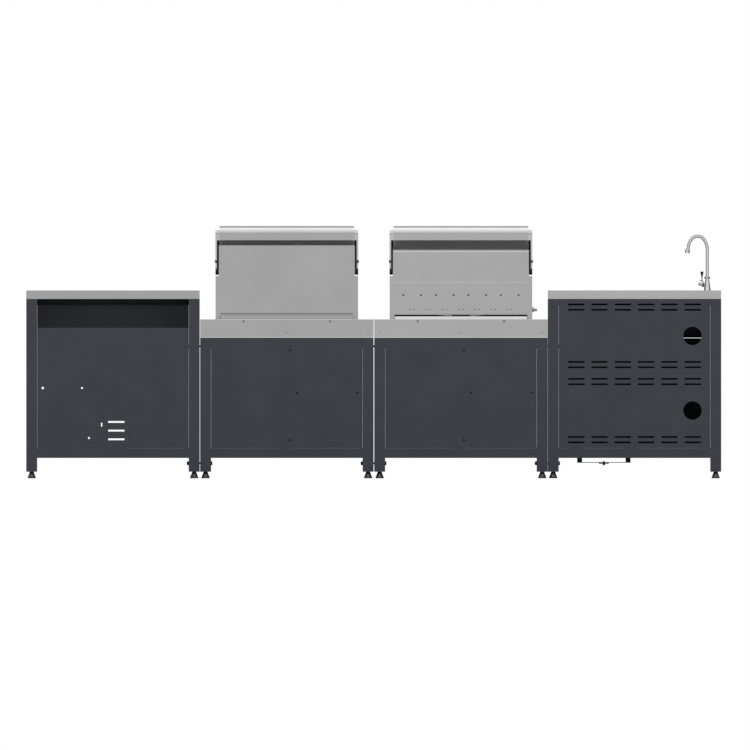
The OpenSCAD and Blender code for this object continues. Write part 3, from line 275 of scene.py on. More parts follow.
def polished(name, color, rough=0.08):
    """Chrome plate with a trace of waterspots in its gloss."""
    mat, nodes, links, shader = new_material(name)
    shader.inputs["Metallic"].default_value = 1.0
    spots = noise(nodes, links, 160.0, 5.0)
    links.new(ramp(nodes, links, spots, scaled(color, 0.97), scaled(color, 1.0)), shader.inputs["Base Color"])
    links.new(spread(nodes, links, spots, rough, rough + 0.08), shader.inputs["Roughness"])
    return mat


def cast_iron(name, color, rough=0.6):
    """Matt enamelled iron with a pebbled skin."""
    mat, nodes, links, shader = new_material(name)
    grains = noise(nodes, links, 300.0, 6.0)
    patches = noise(nodes, links, 20.0)
    links.new(ramp(nodes, links, patches, scaled(color, 0.8), scaled(color, 1.25)), shader.inputs["Base Color"])
    links.new(spread(nodes, links, grains, rough - 0.1, rough + 0.12), shader.inputs["Roughness"])
    bump(nodes, links, shader, grains, 0.35, 0.0005)
    return mat


def moulded(name, color, rough=0.35):
    """Moulded plastic or rubber with a fine tool grain."""
    mat, nodes, links, shader = new_material(name)
    grain = noise(nodes, links, 500.0, 3.0)
    patches = noise(nodes, links, 25.0)
    links.new(ramp(nodes, links, patches, scaled(color, 0.85), scaled(color, 1.15)), shader.inputs["Base Color"])
    links.new(spread(nodes, links, grain, rough - 0.05, rough + 0.08), shader.inputs["Roughness"])
    bump(nodes, links, shader, grain, 0.1, 0.0002)
    return mat


def dial_white(name):
    """Printed gauge face: off-white with a faint paper-like mottle."""
    mat, nodes, links, shader = new_material(name)
    links.new(ramp(nodes, links, noise(nodes, links, 300.0), grey(0.72), grey(0.78)), shader.inputs["Base Color"])
    shader.inputs["Roughness"].default_value = 0.5
    return mat


def lens_glass(name):
    mat, nodes, links, shader = new_material(name)
    shader.inputs["Transmission Weight"].default_value = 1.0
    shader.inputs["IOR"].default_value = 1.45
    links.new(spread(nodes, links, noise(nodes, links, 200.0), 0.0, 0.04), shader.inputs["Roughness"])
    return mat


# Changes to a finished material, several of them painted highlights and painted shade. Tones of lines are shares of a
# range, so that one can be lighter than its finish

TONE_RANGE = 4.0
PLAIN = 1.0 / TONE_RANGE
UNDERCOAT = (0.006, 0.006, 0.006, 1.0)
# Black painted as shade at the sides of a hood's inside
INSIDE_SIDE_SHADE = (0.05, 0.05, 0.05, 1.0)
LOOKS_UP = 0.7
GLINT_FOCUS = 18.0


def lighter(factor):
    return factor / TONE_RANGE


def multiplied(mat, factor):
    """A finish multiplied by a grey."""
    nodes, links, shader = tree(mat)
    scale = nodes.new("ShaderNodeVectorMath")
    scale.operation = "SCALE"
    links.new(socket_source(shader, "Base Color"), scale.inputs[0])
    links.new(factor, scale.inputs["Scale"])
    links.new(scale.outputs["Vector"], shader.inputs["Base Color"])
    return mat


def coloured(mat, share, color):
    """Another colour where a share is one."""
    nodes, links, shader = tree(mat)
    links.new(mixed(nodes, links, share, socket_source(shader, "Base Color"), color), shader.inputs["Base Color"])
    return mat


def toned(mat, tones):
    """A finish made lighter or darker by tones."""
    nodes, links, _ = tree(mat)
    return multiplied(mat, math_node(nodes, links, "MULTIPLY", tones, TONE_RANGE))


def lined(mat, marks):
    """Painted highlights and painted shade: lighter and darker lines on a finish, by height."""
    nodes, links, _ = tree(mat)
    return toned(mat, steps(nodes, links, axes(nodes, links, "Object")["Z"], marks))


def shaded_tops(mat, factor):
    """Painted shade: a darker tone on the faces that look up, which the lines of the rear face don't reach."""
    nodes, links, _ = tree(mat)
    upward = math_node(nodes, links, "GREATER_THAN", axes(nodes, links, "Normal")["Z"], LOOKS_UP)
    return multiplied(mat, blended(nodes, links, upward, 1.0, factor))


def strip_lit(mat, marks):
    """Painted reflection: soft dark and light streaks round a bright tube, by how squarely its skin faces front or
    rear.
    """
    nodes, links, _ = tree(mat)
    return multiplied(mat, tone_ramp(nodes, links, squareness(nodes, links), marks, "LINEAR"))


def glinting(mat, heights, tone):
    """A soft light patch between two heights, where the skin faces front or rear."""
    nodes, links, _ = tree(mat)
    between = band(nodes, links, axes(nodes, links, "Object")["Z"], *heights)
    squarely = math_node(nodes, links, "POWER", squareness(nodes, links), GLINT_FOCUS)
    return coloured(mat, math_node(nodes, links, "MULTIPLY", between, squarely), grey(tone))


def sooted(mat, share):
    """Sooty black, without a metal's sheen, where a share is one."""
    nodes, links, shader = tree(mat)
    coloured(mat, share, UNDERCOAT)
    links.new(spread(nodes, links, share, 1.0, 0.0), shader.inputs["Metallic"])
    return mat


def hollow(mat, middle, inside, rough=0.6, sides=None, top=None, glow=0.0):
    """Another, matt finish on the faces that look inwards.

    Beyond the sides, given in millimetres from the middle, the inside is painted black as shade. Nothing above the
    top counts as inside. A faint glow within the sides is painted light that stands for the light bouncing about in a
    narrow gap.
    """
    nodes, links, shader = tree(mat)
    place = axes(nodes, links, "Object")
    within = inner_faces(nodes, links, middle)
    if top:
        under = math_node(nodes, links, "LESS_THAN", place["Z"], top * MM)
        within = math_node(nodes, links, "MULTIPLY", within, under)
    if sides:
        across = band(nodes, links, place["X"], middle[0] / MM - sides, middle[0] / MM + sides)
        inside = mixed(nodes, links, across, INSIDE_SIDE_SHADE, inside)
        lit = math_node(nodes, links, "MULTIPLY", within, across)
        shader.inputs["Emission Color"].default_value = grey(1.0)
        links.new(math_node(nodes, links, "MULTIPLY", lit, glow), shader.inputs["Emission Strength"])
    coloured(mat, within, inside)
    metallic = shader.inputs["Metallic"].default_value
    links.new(spread(nodes, links, within, metallic, 0.0), shader.inputs["Metallic"])
    links.new(blended(nodes, links, within, socket_source(shader, "Roughness"), rough), shader.inputs["Roughness"])
    return mat


def outer_faces_coated(mat, middle, coat, rough=0.8):
    """A coat on the faces that look away from a middle point."""
    nodes, links, shader = tree(mat)
    within = inner_faces(nodes, links, middle)
    bare = socket_source(shader, "Base Color")
    links.new(mixed(nodes, links, within, coat, bare), shader.inputs["Base Color"])
    links.new(within, shader.inputs["Metallic"])
    links.new(blended(nodes, links, within, rough, socket_source(shader, "Roughness")), shader.inputs["Roughness"])
    return mat


# Finishes of the frames

SLATE = (0.0345, 0.0385, 0.0505)
PRIMER = (0.23, 0.235, 0.26, 1.0)
# Light grey painted as the highlight on the rails' rounded top edge
RAIL_EDGE_HIGHLIGHT = (0.085, 0.09, 0.105, 1.0)
BEHIND_FASCIAS = 1000.0

# The painted highlight along the rear rails' rounded top edge: its heights, and its stretches from each unit's middle
RAIL_LINE = (144.5, 150.5)
HIGHEST = 1300.0
ROW_END = 2000.0
RAIL_STRETCHES = {
    "store": [(-372, -69), (338, 372)],
    "charcoal": [(-372, -349), (-337, -30), (29, 338), (350, 372)],
    "gas": [(-372, -349), (-337, -30), (34, 338), (350, 372)],
    "sink": [(-372, -345), (-332, -28), (44, 260), (302, 338), (350, 372)],
}


def rail_slate(name, units):
    """Powder coat with a painted highlight along the top edge of the bottom rails, broken in places."""
    mat = powder_coat(name, SLATE)
    nodes, links, _ = tree(mat)
    place = axes(nodes, links, "Object")
    level = steps(nodes, links, place["Z"], [(0, 0.0), (RAIL_LINE[0], 1.0), (RAIL_LINE[1], 0.0), (HIGHEST, 0.0)])
    marks = []
    for unit in units:
        for start, end in RAIL_STRETCHES[unit]:
            marks += [(unit_mid[unit] / MM + start, 1.0), (unit_mid[unit] / MM + end, 0.0)]
    where = steps(nodes, links, place["X"], [(-ROW_END, 0.0), *sorted(marks), (ROW_END, 0.0)])
    return coloured(mat, math_node(nodes, links, "MULTIPLY", level, where), RAIL_EDGE_HIGHLIGHT)


def fascia_coat():
    """Slate in front; bare primer on the faces that look back into the cabinets."""
    low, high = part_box("cabinet_fascias")
    behind = (0.0, high[1] + BEHIND_FASCIAS * MM, (low[2] + high[2]) / 2)
    return hollow(powder_coat("fascia_powder_coat", SLATE), behind, PRIMER, 0.55)


# Finishes of the grill heads. Lines are painted highlights and painted shade, as (height, tone) marks at folds and
# edges, each held up to the next

STEEL_TONE = {"store": 0.389, "sink": 0.440, "charcoal": 0.4055, "gas": 0.428}
PANEL_TONE = 0.40

# Painted highlights: two lighter lines at the surround's rear folds
SURROUND_HIGHLIGHTS = [(686.5, PLAIN), (691.5, lighter(1.5)), (695.0, PLAIN),
                  (779.5, lighter(1.35)), (783.5, PLAIN), (788.5, PLAIN)]
# Painted shade: the surround's upward faces are darkened
SURROUND_TOP_SHADE = 0.55
# Painted highlights at the gas wall's folds, and a painted shade just over its top edge
WALL_HIGHLIGHTS_AND_SHADE = {
    "charcoal": [],
    "gas": [(961.0, lighter(1.12)), (967.0, PLAIN), (1113.8, lighter(1.42)), (1118.8, lighter(0.86))],
}
# Painted shade: dark bands along the trays' top rear edges, deepening the slits above them
GREASE_TRAY_SHADE = [(790.0, PLAIN), (796.4, lighter(0.42)), (800.0, PLAIN)]
ASH_TRAY_SHADE = [(799.0, PLAIN), (803.9, lighter(0.08)), (812.0, lighter(0.08))]

# A firebox is sooty under its grates; under its drain's top, and this far inside its skin, it has its floor
GRATE_Z = 950.0
DRAIN_TOP = 850.0
SKIN = 6.0

# The shade line over a tray's rear mouth: half its length, its heights and its tone
MOUTH_HALF = 326.5
MOUTH_SHADE = {"charcoal": (810.0, 813.8, 0.6), "gas": (803.0, 808.9, 0.82)}

# A hood's caps over its cheeks, its crown and its rolled rear edge, with (distance below the crown, tone) marks for
# the painted highlights on the rolled edge and the painted shade under the caps' roll
CAP_WIDTH = 21.0
CAP_TONE = 1.21
CROWN_STEP = 6.5
CROWN_GAP = 0.4
ROLLED_REACH = 60.0
SKIN_HIGHLIGHTS = [(46.0, PLAIN), (31.0, lighter(1.4)), (21.0, PLAIN), (15.0, lighter(1.4)), (6.5, PLAIN), (-1.0, PLAIN)]
CAP_SHADE = [(60.0, PLAIN), (42.0, lighter(0.7)), (25.0, PLAIN), (-1.0, PLAIN)]

# A hood's inside: how far its lit part reaches from the middle, its painted light grey and its glow, which is painted
# light
WALL_HALF = 334.7
LIT_INSIDE_GREY = (0.72, 0.72, 0.72, 1.0)
BOUNCE_GLOW = 0.025


def panel_steel(unit, node):
    """Brushed in front, undercoat on the faces that look inwards."""
    return hollow(steel(unit + "_panel_steel", PANEL_TONE), centre(node), UNDERCOAT)


def surround_steel(unit):
    """Brushed, with painted highlights along the rear face's folds."""
    mat = lined(steel(unit + "_surround_steel", STEEL_TONE[unit]), SURROUND_HIGHLIGHTS)
    return shaded_tops(mat, SURROUND_TOP_SHADE)


def mouth_shaded(mat, unit):
    """The shade line over a tray's rear mouth."""
    nodes, links, _ = tree(mat)
    low, high, tone = MOUTH_SHADE[unit]
    place = axes(nodes, links, "Object")
    middle = unit_mid[unit] / MM
    across = band(nodes, links, place["X"], middle - MOUTH_HALF, middle + MOUTH_HALF)
    over = band(nodes, links, place["Z"], low, high)
    share = math_node(nodes, links, "MULTIPLY", across, over)
    return multiplied(mat, blended(nodes, links, share, 1.0, tone))


def firebox_steel(unit):
    """Brushed outside and above the grates, with the walls' painted highlights and shade and the painted shade line
    over the tray's mouth; sooty below the grates.
    """
    low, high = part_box(unit + "_firebox")
    middle = (*centre(unit + "_firebox")[:2], GRATE_Z * MM)
    marks = [(GRATE_Z, PLAIN), *WALL_HIGHLIGHTS_AND_SHADE[unit], (high[2] / MM + 5, PLAIN)]
    mat = lined(steel(unit + "_firebox_steel", STEEL_TONE[unit]), marks)
    nodes, links, _ = tree(mat)
    place = axes(nodes, links, "Object")
    walls = math_node(nodes, links, "LESS_THAN", place["Z"], GRATE_Z * MM)
    walls = math_node(nodes, links, "MULTIPLY", walls, inner_faces(nodes, links, middle))
    drain = math_node(nodes, links, "LESS_THAN", place["Z"], DRAIN_TOP * MM)
    for k, axis in enumerate(("X", "Y")):
        reach = (high[k] - low[k]) / 2 - SKIN * MM
        clear = math_node(nodes, links, "LESS_THAN", off_middle(nodes, links, place[axis], middle[k]), reach)
        drain = math_node(nodes, links, "MULTIPLY", drain, clear)
    return mouth_shaded(sooted(mat, math_node(nodes, links, "MAXIMUM", walls, drain)), unit)


def hood_steel(unit):
    """Brushed outside; matt inside, painted light grey with a glow where lit and black as shade at the sides; lighter
    caps over the cheeks, and painted highlights and shade on the rolled rear edge.
    """
    low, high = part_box(unit + "_hood")
    top = high[2] / MM
    mat = steel(unit + "_hood_steel", STEEL_TONE[unit], 0.3)
    nodes, links, _ = tree(mat)
    place = axes(nodes, links, "Object")
    across = off_middle(nodes, links, place["X"], unit_mid[unit])
    cap = math_node(nodes, links, "GREATER_THAN", across, (high[0] - low[0]) / 2 - CAP_WIDTH * MM)
    multiplied(mat, blended(nodes, links, cap, 1.0, CAP_TONE))
    skin_highlights, cap_shade = (steps(nodes, links, place["Z"], [(top - down, tone) for down, tone in lines])
                             for lines in (SKIN_HIGHLIGHTS, CAP_SHADE))
    at_rear = math_node(nodes, links, "GREATER_THAN", place["Y"], high[1] - ROLLED_REACH * MM)
    toned(mat, blended(nodes, links, at_rear, PLAIN, blended(nodes, links, cap, skin_highlights, cap_shade)))
    return hollow(mat, centre(unit + "_hood"), LIT_INSIDE_GREY, sides=WALL_HALF, top=top - CROWN_STEP - CROWN_GAP,
                  glow=BOUNCE_GLOW)


# Finishes of the fittings

BRASS = (0.52, 0.38, 0.16)
PLATED = (0.62, 0.62, 0.62, 1.0)
PLATED_FROM = 350.5
FOOT_GLINT = (8.0, 20.0)
# Painted reflection on the chrome: (squareness, tone) marks
CHROME_REFLECTION_STREAKS = [(0.0, 0.05), (0.62, 0.09), (0.8, 0.3), (0.9, 0.85), (0.97, 1.0), (1.0, 0.8)]


def valve_metal():
    """Machined brass, with a plated end on the side where the gas comes in."""
    mat = brushed("machined_brass", BRASS, 0.3, (200, 200, 200), 0.06)
    nodes, links, _ = tree(mat)
    x = axes(nodes, links, "Object")["X"]
    return coloured(mat, math_node(nodes, links, "LESS_THAN", x, unit_mid["gas"] - PLATED_FROM * MM), PLATED)


def chrome_plate():
    mat = strip_lit(polished("chrome_plate", (0.72, 0.72, 0.73)), CHROME_REFLECTION_STREAKS)
    tree(mat)[2].inputs["Specular Tint"].default_value = grey(0.12)
    return mat


slate = powder_coat("slate_powder_coat", SLATE)
black_coat = powder_coat("black_powder_coat", (0.008, 0.008, 0.009), 0.45, 0.2)
steel_bright = steel("bright_rolled_steel", 0.78, 0.3)
gauge_steel = steel("turned_steel", 0.45, 0.25)
dark_screw = machined("dark_screw_steel", (0.1, 0.1, 0.1))
screw_steel = machined("screw_steel", (0.25, 0.25, 0.25))
chrome = chrome_plate()
iron = cast_iron("enamelled_iron", (0.02, 0.02, 0.02))
black_plastic = moulded("black_plastic", (0.010, 0.010, 0.011))
dark_rubber = moulded("dark_rubber", (0.004, 0.004, 0.004), 0.6)
foot_rubber = glinting(moulded("black_foot", (0.008, 0.008, 0.009), 0.28), FOOT_GLINT, 0.5)
dial_face = dial_white("gauge_dial")
dial_ink = moulded("dial_ink", (0.01, 0.01, 0.01), 0.5)
dial_red = moulded("needle_red", (0.35, 0.02, 0.015), 0.4)
gauge_glass = lens_glass("gauge_glass")
pointer_white = moulded("pointer_white", (0.6, 0.6, 0.6), 0.4)

SLOT_MATERIALS = {
    "slate_paint": slate,
    "stainless": steel("brushed_steel_along_x", 0.40),
    "gauge_steel": gauge_steel,
    "brass_valves": valve_metal(),
    "cast_iron": iron,
    "fire_steel": iron,
    "chrome": chrome,
    "black_coat": black_coat,
    "black_rubber": foot_rubber,
    "knob_black": black_plastic,
}
NODE_MATERIALS = {
    "charcoal_front_panel": panel_steel("charcoal", "charcoal_front_panel"),
    "gas_control_panel": panel_steel("gas", "gas_control_panel"),
    "pivot_pins": black_coat,
    "gas_grease_tray": lined(steel_bright, GREASE_TRAY_SHADE),
    "ash_tray": lined(hollow(steel("ash_tray_steel", STEEL_TONE["charcoal"]), centre("ash_tray"), UNDERCOAT),
                      ASH_TRAY_SHADE),
    "sink_basin": outer_faces_coated(steel("basin_steel", STEEL_TONE["sink"], 0.3), centre("sink_basin"), UNDERCOAT),
    "cabinet_fascias": fascia_coat(),
    "tall_rails": rail_slate("tall_rail_powder_coat", ("store", "sink")),
    "low_rails": rail_slate("low_rail_powder_coat", GRILLS),
}
for unit in ("store", "sink"):
    NODE_MATERIALS[unit + "_worktop"] = steel(unit + "_worktop_steel", STEEL_TONE[unit])
for unit in GRILLS:
    NODE_MATERIALS[unit + "_surround"] = surround_steel(unit)
    NODE_MATERIALS[unit + "_firebox"] = firebox_steel(unit)
    NODE_MATERIALS[unit + "_hood"] = hood_steel(unit)
    NODE_MATERIALS[unit + "_hood_handle"] = chrome


def dress_nodes():
    """Every CAD node takes its own finish, or else that of its slot in the record."""
    slots = {part["node"]: part["material_slot"] for part in frame["record"]["subparts"]}
    for name, obj in frame["nodes"].items():
        finish = NODE_MATERIALS.get(name, SLOT_MATERIALS[slots[name]])
        for material_slot in obj.material_slots:
            material_slot.material = finish
        if not obj.material_slots:
            obj.data.materials.append(finish)


# Mesh helpers

SHARP_ANGLE = math.radians(35)


def piece(name, bm, material, body, smooth=True):
    """Turns a bmesh into a named piece that rides on a body."""
    mesh = bpy.data.meshes.new(name)
    bmesh.ops.recalc_face_normals(bm, faces=bm.faces)
    bm.to_mesh(mesh)
    bm.free()
    obj = bpy.data.objects.new(name, mesh)
    bpy.context.scene.collection.objects.link(obj)
    mesh.materials.append(material)
    if smooth:
        mesh.polygons.foreach_set("use_smooth", [True] * len(mesh.polygons))
        mesh.set_sharp_from_angle(angle=SHARP_ANGLE)
    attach(obj, body)
    return obj


def in_metres(outline):
    return [(a * MM, b * MM) for a, b in outline]


def circle(radius):
    return lambda turn: radius


def hexagon(radius):
    """Radius of a hexagon's edge in each direction."""
    def radius_of(turn):
        part = (turn + math.pi / 6) % (math.pi / 3) - math.pi / 6
        return radius / math.cos(part)
    return radius_of


def ring(bm, frame_matrix, radius_of, height, count):
    points = []
    for k in range(count):
        turn = 2 * math.pi * k / count
        r = radius_of(turn)
        points.append(bm.verts.new(frame_matrix @ Vector((r * math.cos(turn), r * math.sin(turn), height))))
    return points


def bridge(bm, low, high):
    """Faces between two closed rows of points."""
    count = len(low)
    for k in range(count):
        bm.faces.new((low[k], low[(k + 1) % count], high[(k + 1) % count], high[k]))


def stacked(bm, rings):
    """Bridges rings one after the other and closes both ends."""
    for low, high in zip(rings, rings[1:]):
        bridge(bm, low, high)
    bm.faces.new(rings[0])
    bm.faces.new(rings[-1])


def lathe(bm, frame_matrix, outline, count=32):
    """Revolves an outline of (radius, height) pairs and closes both ends."""
    stacked(bm, [ring(bm, frame_matrix, circle(r), h, count) for r, h in in_metres(outline)])


def turned_ring(bm, frame_matrix, outline, count=40):
    """Revolves a closed loop of (radius, height) pairs."""
    rings = [ring(bm, frame_matrix, circle(r), h, count) for r, h in in_metres(outline)]
    for low, high in zip(rings, rings[1:] + rings[:1]):
        bridge(bm, low, high)


def prism(bm, frame_matrix, outline, low, high):
    """Pulls a closed outline of (y, z) pairs along x."""
    corners = in_metres(outline)
    stacked(bm, [[bm.verts.new(frame_matrix @ Vector((x * MM, y, z))) for y, z in corners] for x in (low, high)])


def flat_bar(bm, frame_matrix, turn, ends, half, levels, tip=1.0):
    """A flat bar along a direction, from one radius to another; the tip is a share of its width."""
    m = frame_matrix @ Matrix.Rotation(turn, 4, "Z")
    corners = in_metres([(ends[0], -half), (ends[1], -half * tip), (ends[1], half * tip), (ends[0], half)])
    stacked(bm, [[bm.verts.new(m @ Vector((x, y, z * MM))) for x, y in corners] for z in levels])


def facing(place, direction):
    """A frame at a place whose +Z points along a direction."""
    turn = Vector((0, 0, 1)).rotation_difference(Vector(direction)).to_matrix().to_4x4()
    return Matrix.Translation(place) @ turn


# Fasteners seen from the rear. A head's radius, height and finish follow its kind

REAR = (0, 1, 0)
HEAD_SIDES = 24
HEAD_SUNK = 0.6
SURROUND_SCREW_X = 213
SURROUND_SCREW_Z = 773
SURROUND_TAB_Z = 716
SURROUND_TAB_X = 400
BURNER_SCREW_Z = 902
BURNER_PITCH = 160
BURNER_SCREW_HALF = 43.5
BURNERS = 4
BOX_INSET = 30
TOP_SCREW = (6, 1.2, dark_screw)
TAB_SCREW = (4, 1.2, screw_steel)
BURNER_SCREW = (5, 2.5, dark_screw)


def screw_head(bm, place, radius, height):
    """A domed head with a hexagon socket, closed at its back."""
    m = facing(place, REAR)
    socket = hexagon(radius * 0.42)
    sections = [
        (circle(radius), 0.0),
        (circle(radius), 0.4),
        (circle(radius * 0.86), 0.8),
        (circle(radius * 0.62), 1.0),
        (socket, 1.0),
        (socket, 0.35),
    ]
    stacked(bm, [ring(bm, m, radius_of, height * share, HEAD_SIDES) for radius_of, share in sections])


def screws(name, places, kind):
    radius, height, material = kind
    bm = bmesh.new()
    for place in places:
        screw_head(bm, place, radius * MM, height * MM)
    piece(name, bm, material, "frame")


def rear_screws():
    for unit in GRILLS:
        places = [at(unit, x, -HEAD_SUNK, SURROUND_SCREW_Z) for x in (-SURROUND_SCREW_X, SURROUND_SCREW_X)]
        screws(unit + "_top_screws", places, TOP_SCREW)
        places = [at(unit, x, -HEAD_SUNK, SURROUND_TAB_Z) for x in (-SURROUND_TAB_X, 0, SURROUND_TAB_X)]
        screws(unit + "_surround_screws", places, TAB_SCREW)
    places = [
        at("gas", (k - (BURNERS - 1) / 2) * BURNER_PITCH + side * BURNER_SCREW_HALF, -BOX_INSET, BURNER_SCREW_Z)
        for k in range(BURNERS) for side in (-1, 1)
    ]
    screws("gas_burner_screws", places, BURNER_SCREW)


# Rubber pads at the hoods' hinges

PIVOT_Y, PIVOT_Z = -80, 1069
PAD_REACH, PAD_ROOT = 69.5, 61.0
PAD_X = (337.0, 350.6)
PAD_ARCS = ((-8.0, 3.0), (-76.0, -36.0))
ARC_STEPS = 12


def arc_points(radius, start, end):
    turns = [math.radians(start + (end - start) * k / ARC_STEPS) for k in range(ARC_STEPS + 1)]
    return [(radius * math.cos(turn), radius * math.sin(turn)) for turn in turns]


def hinge_pads(unit):
    """Pads round the rear edge of both cheeks, two on each."""
    bm = bmesh.new()
    pivot = Matrix.Translation(at(unit, 0, PIVOT_Y, PIVOT_Z))
    for start, end in PAD_ARCS:
        outline = arc_points(PAD_REACH, start, end) + arc_points(PAD_ROOT, end, start)
        for low, high in (PAD_X, (-PAD_X[1], -PAD_X[0])):
            prism(bm, pivot, outline, low, high)
    piece(unit + "_hinge_pads", bm, dark_rubber, unit + "_lid")


# The hoods' gauges: heights are from the sunk face towards the cook

DIAL_SUNK = 1.5
DIAL_FACE = [(28.6, -0.2), (28.6, 0.2)]
LENS = [(28.9, 1.1), (28.9, 1.4)]
ROUND = 48
TICKS = 19
TICK_SWEEP = 270
TICK_END = 26.0
TICK_LEVELS = (0.1, 0.35)
LONG_TICK, SHORT_TICK = (5.0, 0.55), (3.0, 0.35)
NEEDLE_REST = 135
NEEDLE_ENDS = (-6.0, 21.0)
NEEDLE_HALF, NEEDLE_TIP = 1.4, 0.2
NEEDLE_LEVELS = (0.5, 0.8)
NEEDLE_HUB = [(3.2, 0.15), (3.2, 0.8), (2.4, 1.0)]
UPRIGHT = math.radians(90)


def dial_frame(unit):
    """A frame on a gauge's sunk face: +Z towards the cook, +Y up."""
    low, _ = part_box(unit + "_gauge")
    x, _, z = centre(unit + "_gauge")
    return Matrix.Translation((x, low[1] + DIAL_SUNK * MM, z)) @ Matrix.Rotation(UPRIGHT, 4, "X")


def gauge_dial(unit):
    """A printed face, ticks, a needle and a lens in a hood's gauge."""
    m = dial_frame(unit)
    lid = unit + "_lid"
    face = bmesh.new()
    lathe(face, m, DIAL_FACE, ROUND)
    piece(unit + "_dial_face", face, dial_face, lid)
    marks = bmesh.new()
    for k in range(TICKS):
        turn = UPRIGHT + math.radians(TICK_SWEEP / 2 - TICK_SWEEP * k / (TICKS - 1))
        length, half = LONG_TICK if k % 3 == 0 else SHORT_TICK
        flat_bar(marks, m, turn, (TICK_END - length, TICK_END), half, TICK_LEVELS)
    piece(unit + "_dial_marks", marks, dial_ink, lid, smooth=False)
    needle = bmesh.new()
    flat_bar(needle, m, UPRIGHT + math.radians(NEEDLE_REST), NEEDLE_ENDS, NEEDLE_HALF, NEEDLE_LEVELS, NEEDLE_TIP)
    lathe(needle, m, NEEDLE_HUB, 24)
    piece(unit + "_needle", needle, dial_red, lid)
    lens = bmesh.new()
    lathe(lens, m, LENS, ROUND)
    piece(unit + "_gauge_lens", lens, gauge_glass, lid)


# Knobs: the side of one from its foot to its front, as (radius, height) pairs, its length and its gap to the panel

KNOBS = 5
KNOB_SIDE = [(23.0, 4.0), (18.0, 8.0), (14.0, 25.7), (12.0, 29.2)]
KNOB_L = 29.7
KNOB_GAP = 0.3
LINE_HALF, LINE_OUT, LINE_IN = 0.9, 0.3, 0.5
BEZEL = [(24.6, -0.3), (24.6, 1.6), (25.4, 2.6), (27.6, 2.2), (28.6, 0.8), (28.6, -0.3)]


def knob_trim():
    """A white line down each knob, and a bright ring round its foot."""
    outline = [(-h, r + LINE_OUT) for r, h in KNOB_SIDE] + [(-h, r - LINE_IN) for r, h in reversed(KNOB_SIDE)]
    rings = bmesh.new()
    for k in range(1, KNOBS + 1):
        name = "gas_knob_%d" % k
        low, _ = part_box(name)
        x, _, z = centre(name)
        foot = Vector((x, low[1] + KNOB_L * MM, z))
        line = bmesh.new()
        prism(line, Matrix.Translation(foot), outline, -LINE_HALF, LINE_HALF)
        piece(name + "_line", line, pointer_white, name, smooth=False)
        panel = Matrix.Translation(foot + Vector((0, KNOB_GAP * MM, 0)))
        turned_ring(rings, panel @ Matrix.Rotation(UPRIGHT, 4, "X"), BEZEL)
    piece("knob_bezels", rings, chrome, "frame")


# Caps of the hoods' handles

CAP_OUTLINE = [(11.0, -0.4), (11.6, 0.0), (11.6, 3.0), (10.4, 4.6), (7.0, 5.6)]


def handle_caps(unit):
    """Black caps on both ends of a hood's handle."""
    low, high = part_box(unit + "_hood_handle")
    z = (low[2] + high[2]) / 2
    y = low[1] + (high[2] - low[2]) / 2
    bm = bmesh.new()
    for x, way in ((low[0], -1), (high[0], 1)):
        lathe(bm, facing((x, y, z), (way, 0, 0)), CAP_OUTLINE)
    piece(unit + "_handle_caps", bm, black_plastic, unit + "_lid")


# The strainer, from this far under the waste's rim

STRAINER_SUNK = 1.5
STRAINER_RING = [(13.9, -2.0), (13.9, 1.4), (12.6, 2.0), (11.0, 1.4), (11.0, -2.0)]
STRAINER_HUB = [(3.6, -1.4), (3.6, 0.8), (2.6, 1.4)]
BAR_TURNS = (0, 60, 120)
BAR_REACH, BAR_HALF = 11.4, 1.1
BAR_LEVELS = (-1.2, 0.4)


def basin_strainer():
    """A ring with crossed bars in the mouth of the waste."""
    _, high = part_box("basin_waste")
    x, y, _ = centre("basin_waste")
    m = Matrix.Translation((x, y, high[2] - STRAINER_SUNK * MM))
    bm = bmesh.new()
    turned_ring(bm, m, STRAINER_RING)
    for turn in BAR_TURNS:
        flat_bar(bm, m, math.radians(turn), (-BAR_REACH, BAR_REACH), BAR_HALF, BAR_LEVELS)
    lathe(bm, m, STRAINER_HUB, 24)
    piece("basin_strainer", bm, chrome, "frame")


# Stage, lamp and camera, in metres

FLOOR_SIZE = 60.0
FLOOR_TONE = 0.86
WHITE = grey(1.0)

# The strengths of the sky and, in watts, of the lamp over the row
SKY = 0.9
LAMP = 40
LAMP_PLACE, LAMP_TARGET = Vector((0, 0.6, 4.2)), Vector((0, 0, 0.5))
LAMP_SIZE = (5.0, 2.5)


def make_floor():
    bm = bmesh.new()
    half = FLOOR_SIZE / 2
    corners = [bm.verts.new((x, y, 0.0)) for x, y in ((-half, -half), (half, -half), (half, half), (-half, half))]
    bm.faces.new(corners)
    mesh = bpy.data.meshes.new("floor")
    bm.to_mesh(mesh)
    bm.free()
    floor = bpy.data.objects.new("floor", mesh)
    bpy.context.scene.collection.objects.link(floor)
    mat, _, _, shader = new_material("floor_white")
    shader.inputs["Base Color"].default_value = grey(FLOOR_TONE)
    shader.inputs["Roughness"].default_value = 0.9
    shader.inputs["Specular IOR Level"].default_value = 0.0
    mesh.materials.append(mat)


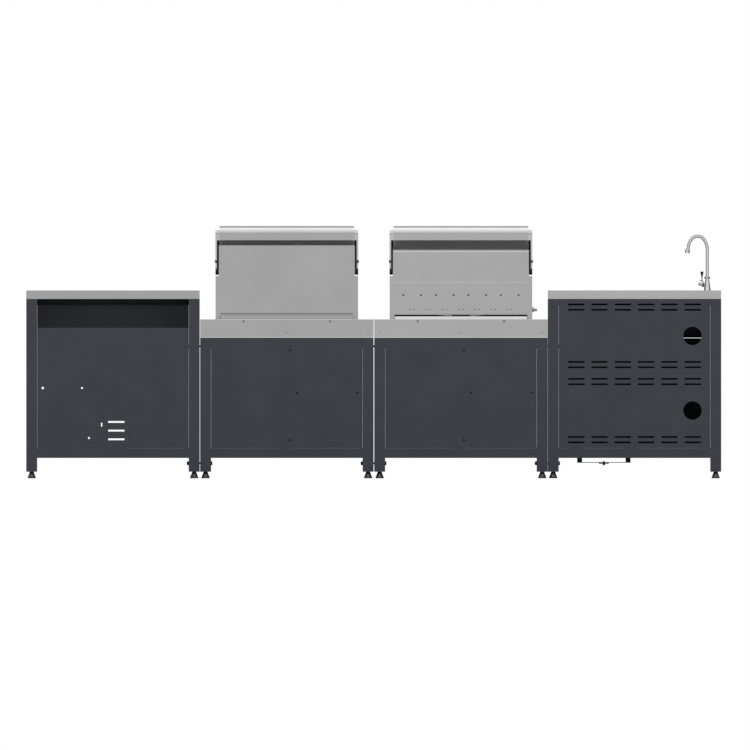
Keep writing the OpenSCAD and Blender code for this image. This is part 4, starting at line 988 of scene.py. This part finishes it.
def background(nodes, strength):
    node = nodes.new("ShaderNodeBackground")
    node.inputs["Color"].default_value = WHITE
    node.inputs["Strength"].default_value = strength
    return node.outputs["Background"]


def make_world():
    """White to the camera, and in gloss and glass; a soft even sky to everything else."""
    world = bpy.data.worlds.new("studio")
    bpy.context.scene.world = world
    world.use_nodes = True
    nodes, links = world.node_tree.nodes, world.node_tree.links
    nodes.clear()
    ray = nodes.new("ShaderNodeLightPath").outputs
    seen = math_node(nodes, links, "MAXIMUM", ray["Is Camera Ray"], ray["Is Glossy Ray"])
    seen = math_node(nodes, links, "MAXIMUM", seen, ray["Is Transmission Ray"])
    mix = nodes.new("ShaderNodeMixShader")
    feed(links, mix.inputs, (seen, background(nodes, SKY), background(nodes, 1.0)))
    out = nodes.new("ShaderNodeOutputWorld")
    links.new(mix.outputs["Shader"], out.inputs["Surface"])


def make_lamp():
    lamp = bpy.data.lights.new("overhead", "AREA")
    lamp.shape = "RECTANGLE"
    lamp.size, lamp.size_y = LAMP_SIZE
    lamp.energy = LAMP
    obj = bpy.data.objects.new("overhead", lamp)
    obj.location = LAMP_PLACE
    obj.rotation_euler = (LAMP_TARGET - LAMP_PLACE).to_track_quat("-Z", "Y").to_euler()
    bpy.context.scene.collection.objects.link(obj)


def make_camera():
    """Level, square to the back of the row, without perspective."""
    camera = bpy.data.cameras.new("camera")
    camera.type = "ORTHO"
    camera.ortho_scale = PHOTO_PX * MM_PER_PX * MM
    camera.clip_end = 100.0
    obj = bpy.data.objects.new("camera", camera)
    middle = PHOTO_PX / 2
    obj.location = ((ORIGIN_PX_X - middle) * MM_PER_PX * MM, CAMERA_DISTANCE,
                    (ORIGIN_PX_Y - middle) * MM_PER_PX * MM)
    obj.rotation_euler = (UPRIGHT, 0, math.pi)
    bpy.context.scene.collection.objects.link(obj)
    bpy.context.scene.camera = obj


make_camera()
make_world()
make_lamp()
make_floor()
bpy.context.scene.view_settings.view_transform = "Standard"
dress_nodes()
rear_screws()
for unit in GRILLS:
    hinge_pads(unit)
    gauge_dial(unit)
    handle_caps(unit)
knob_trim()
basin_strainer()
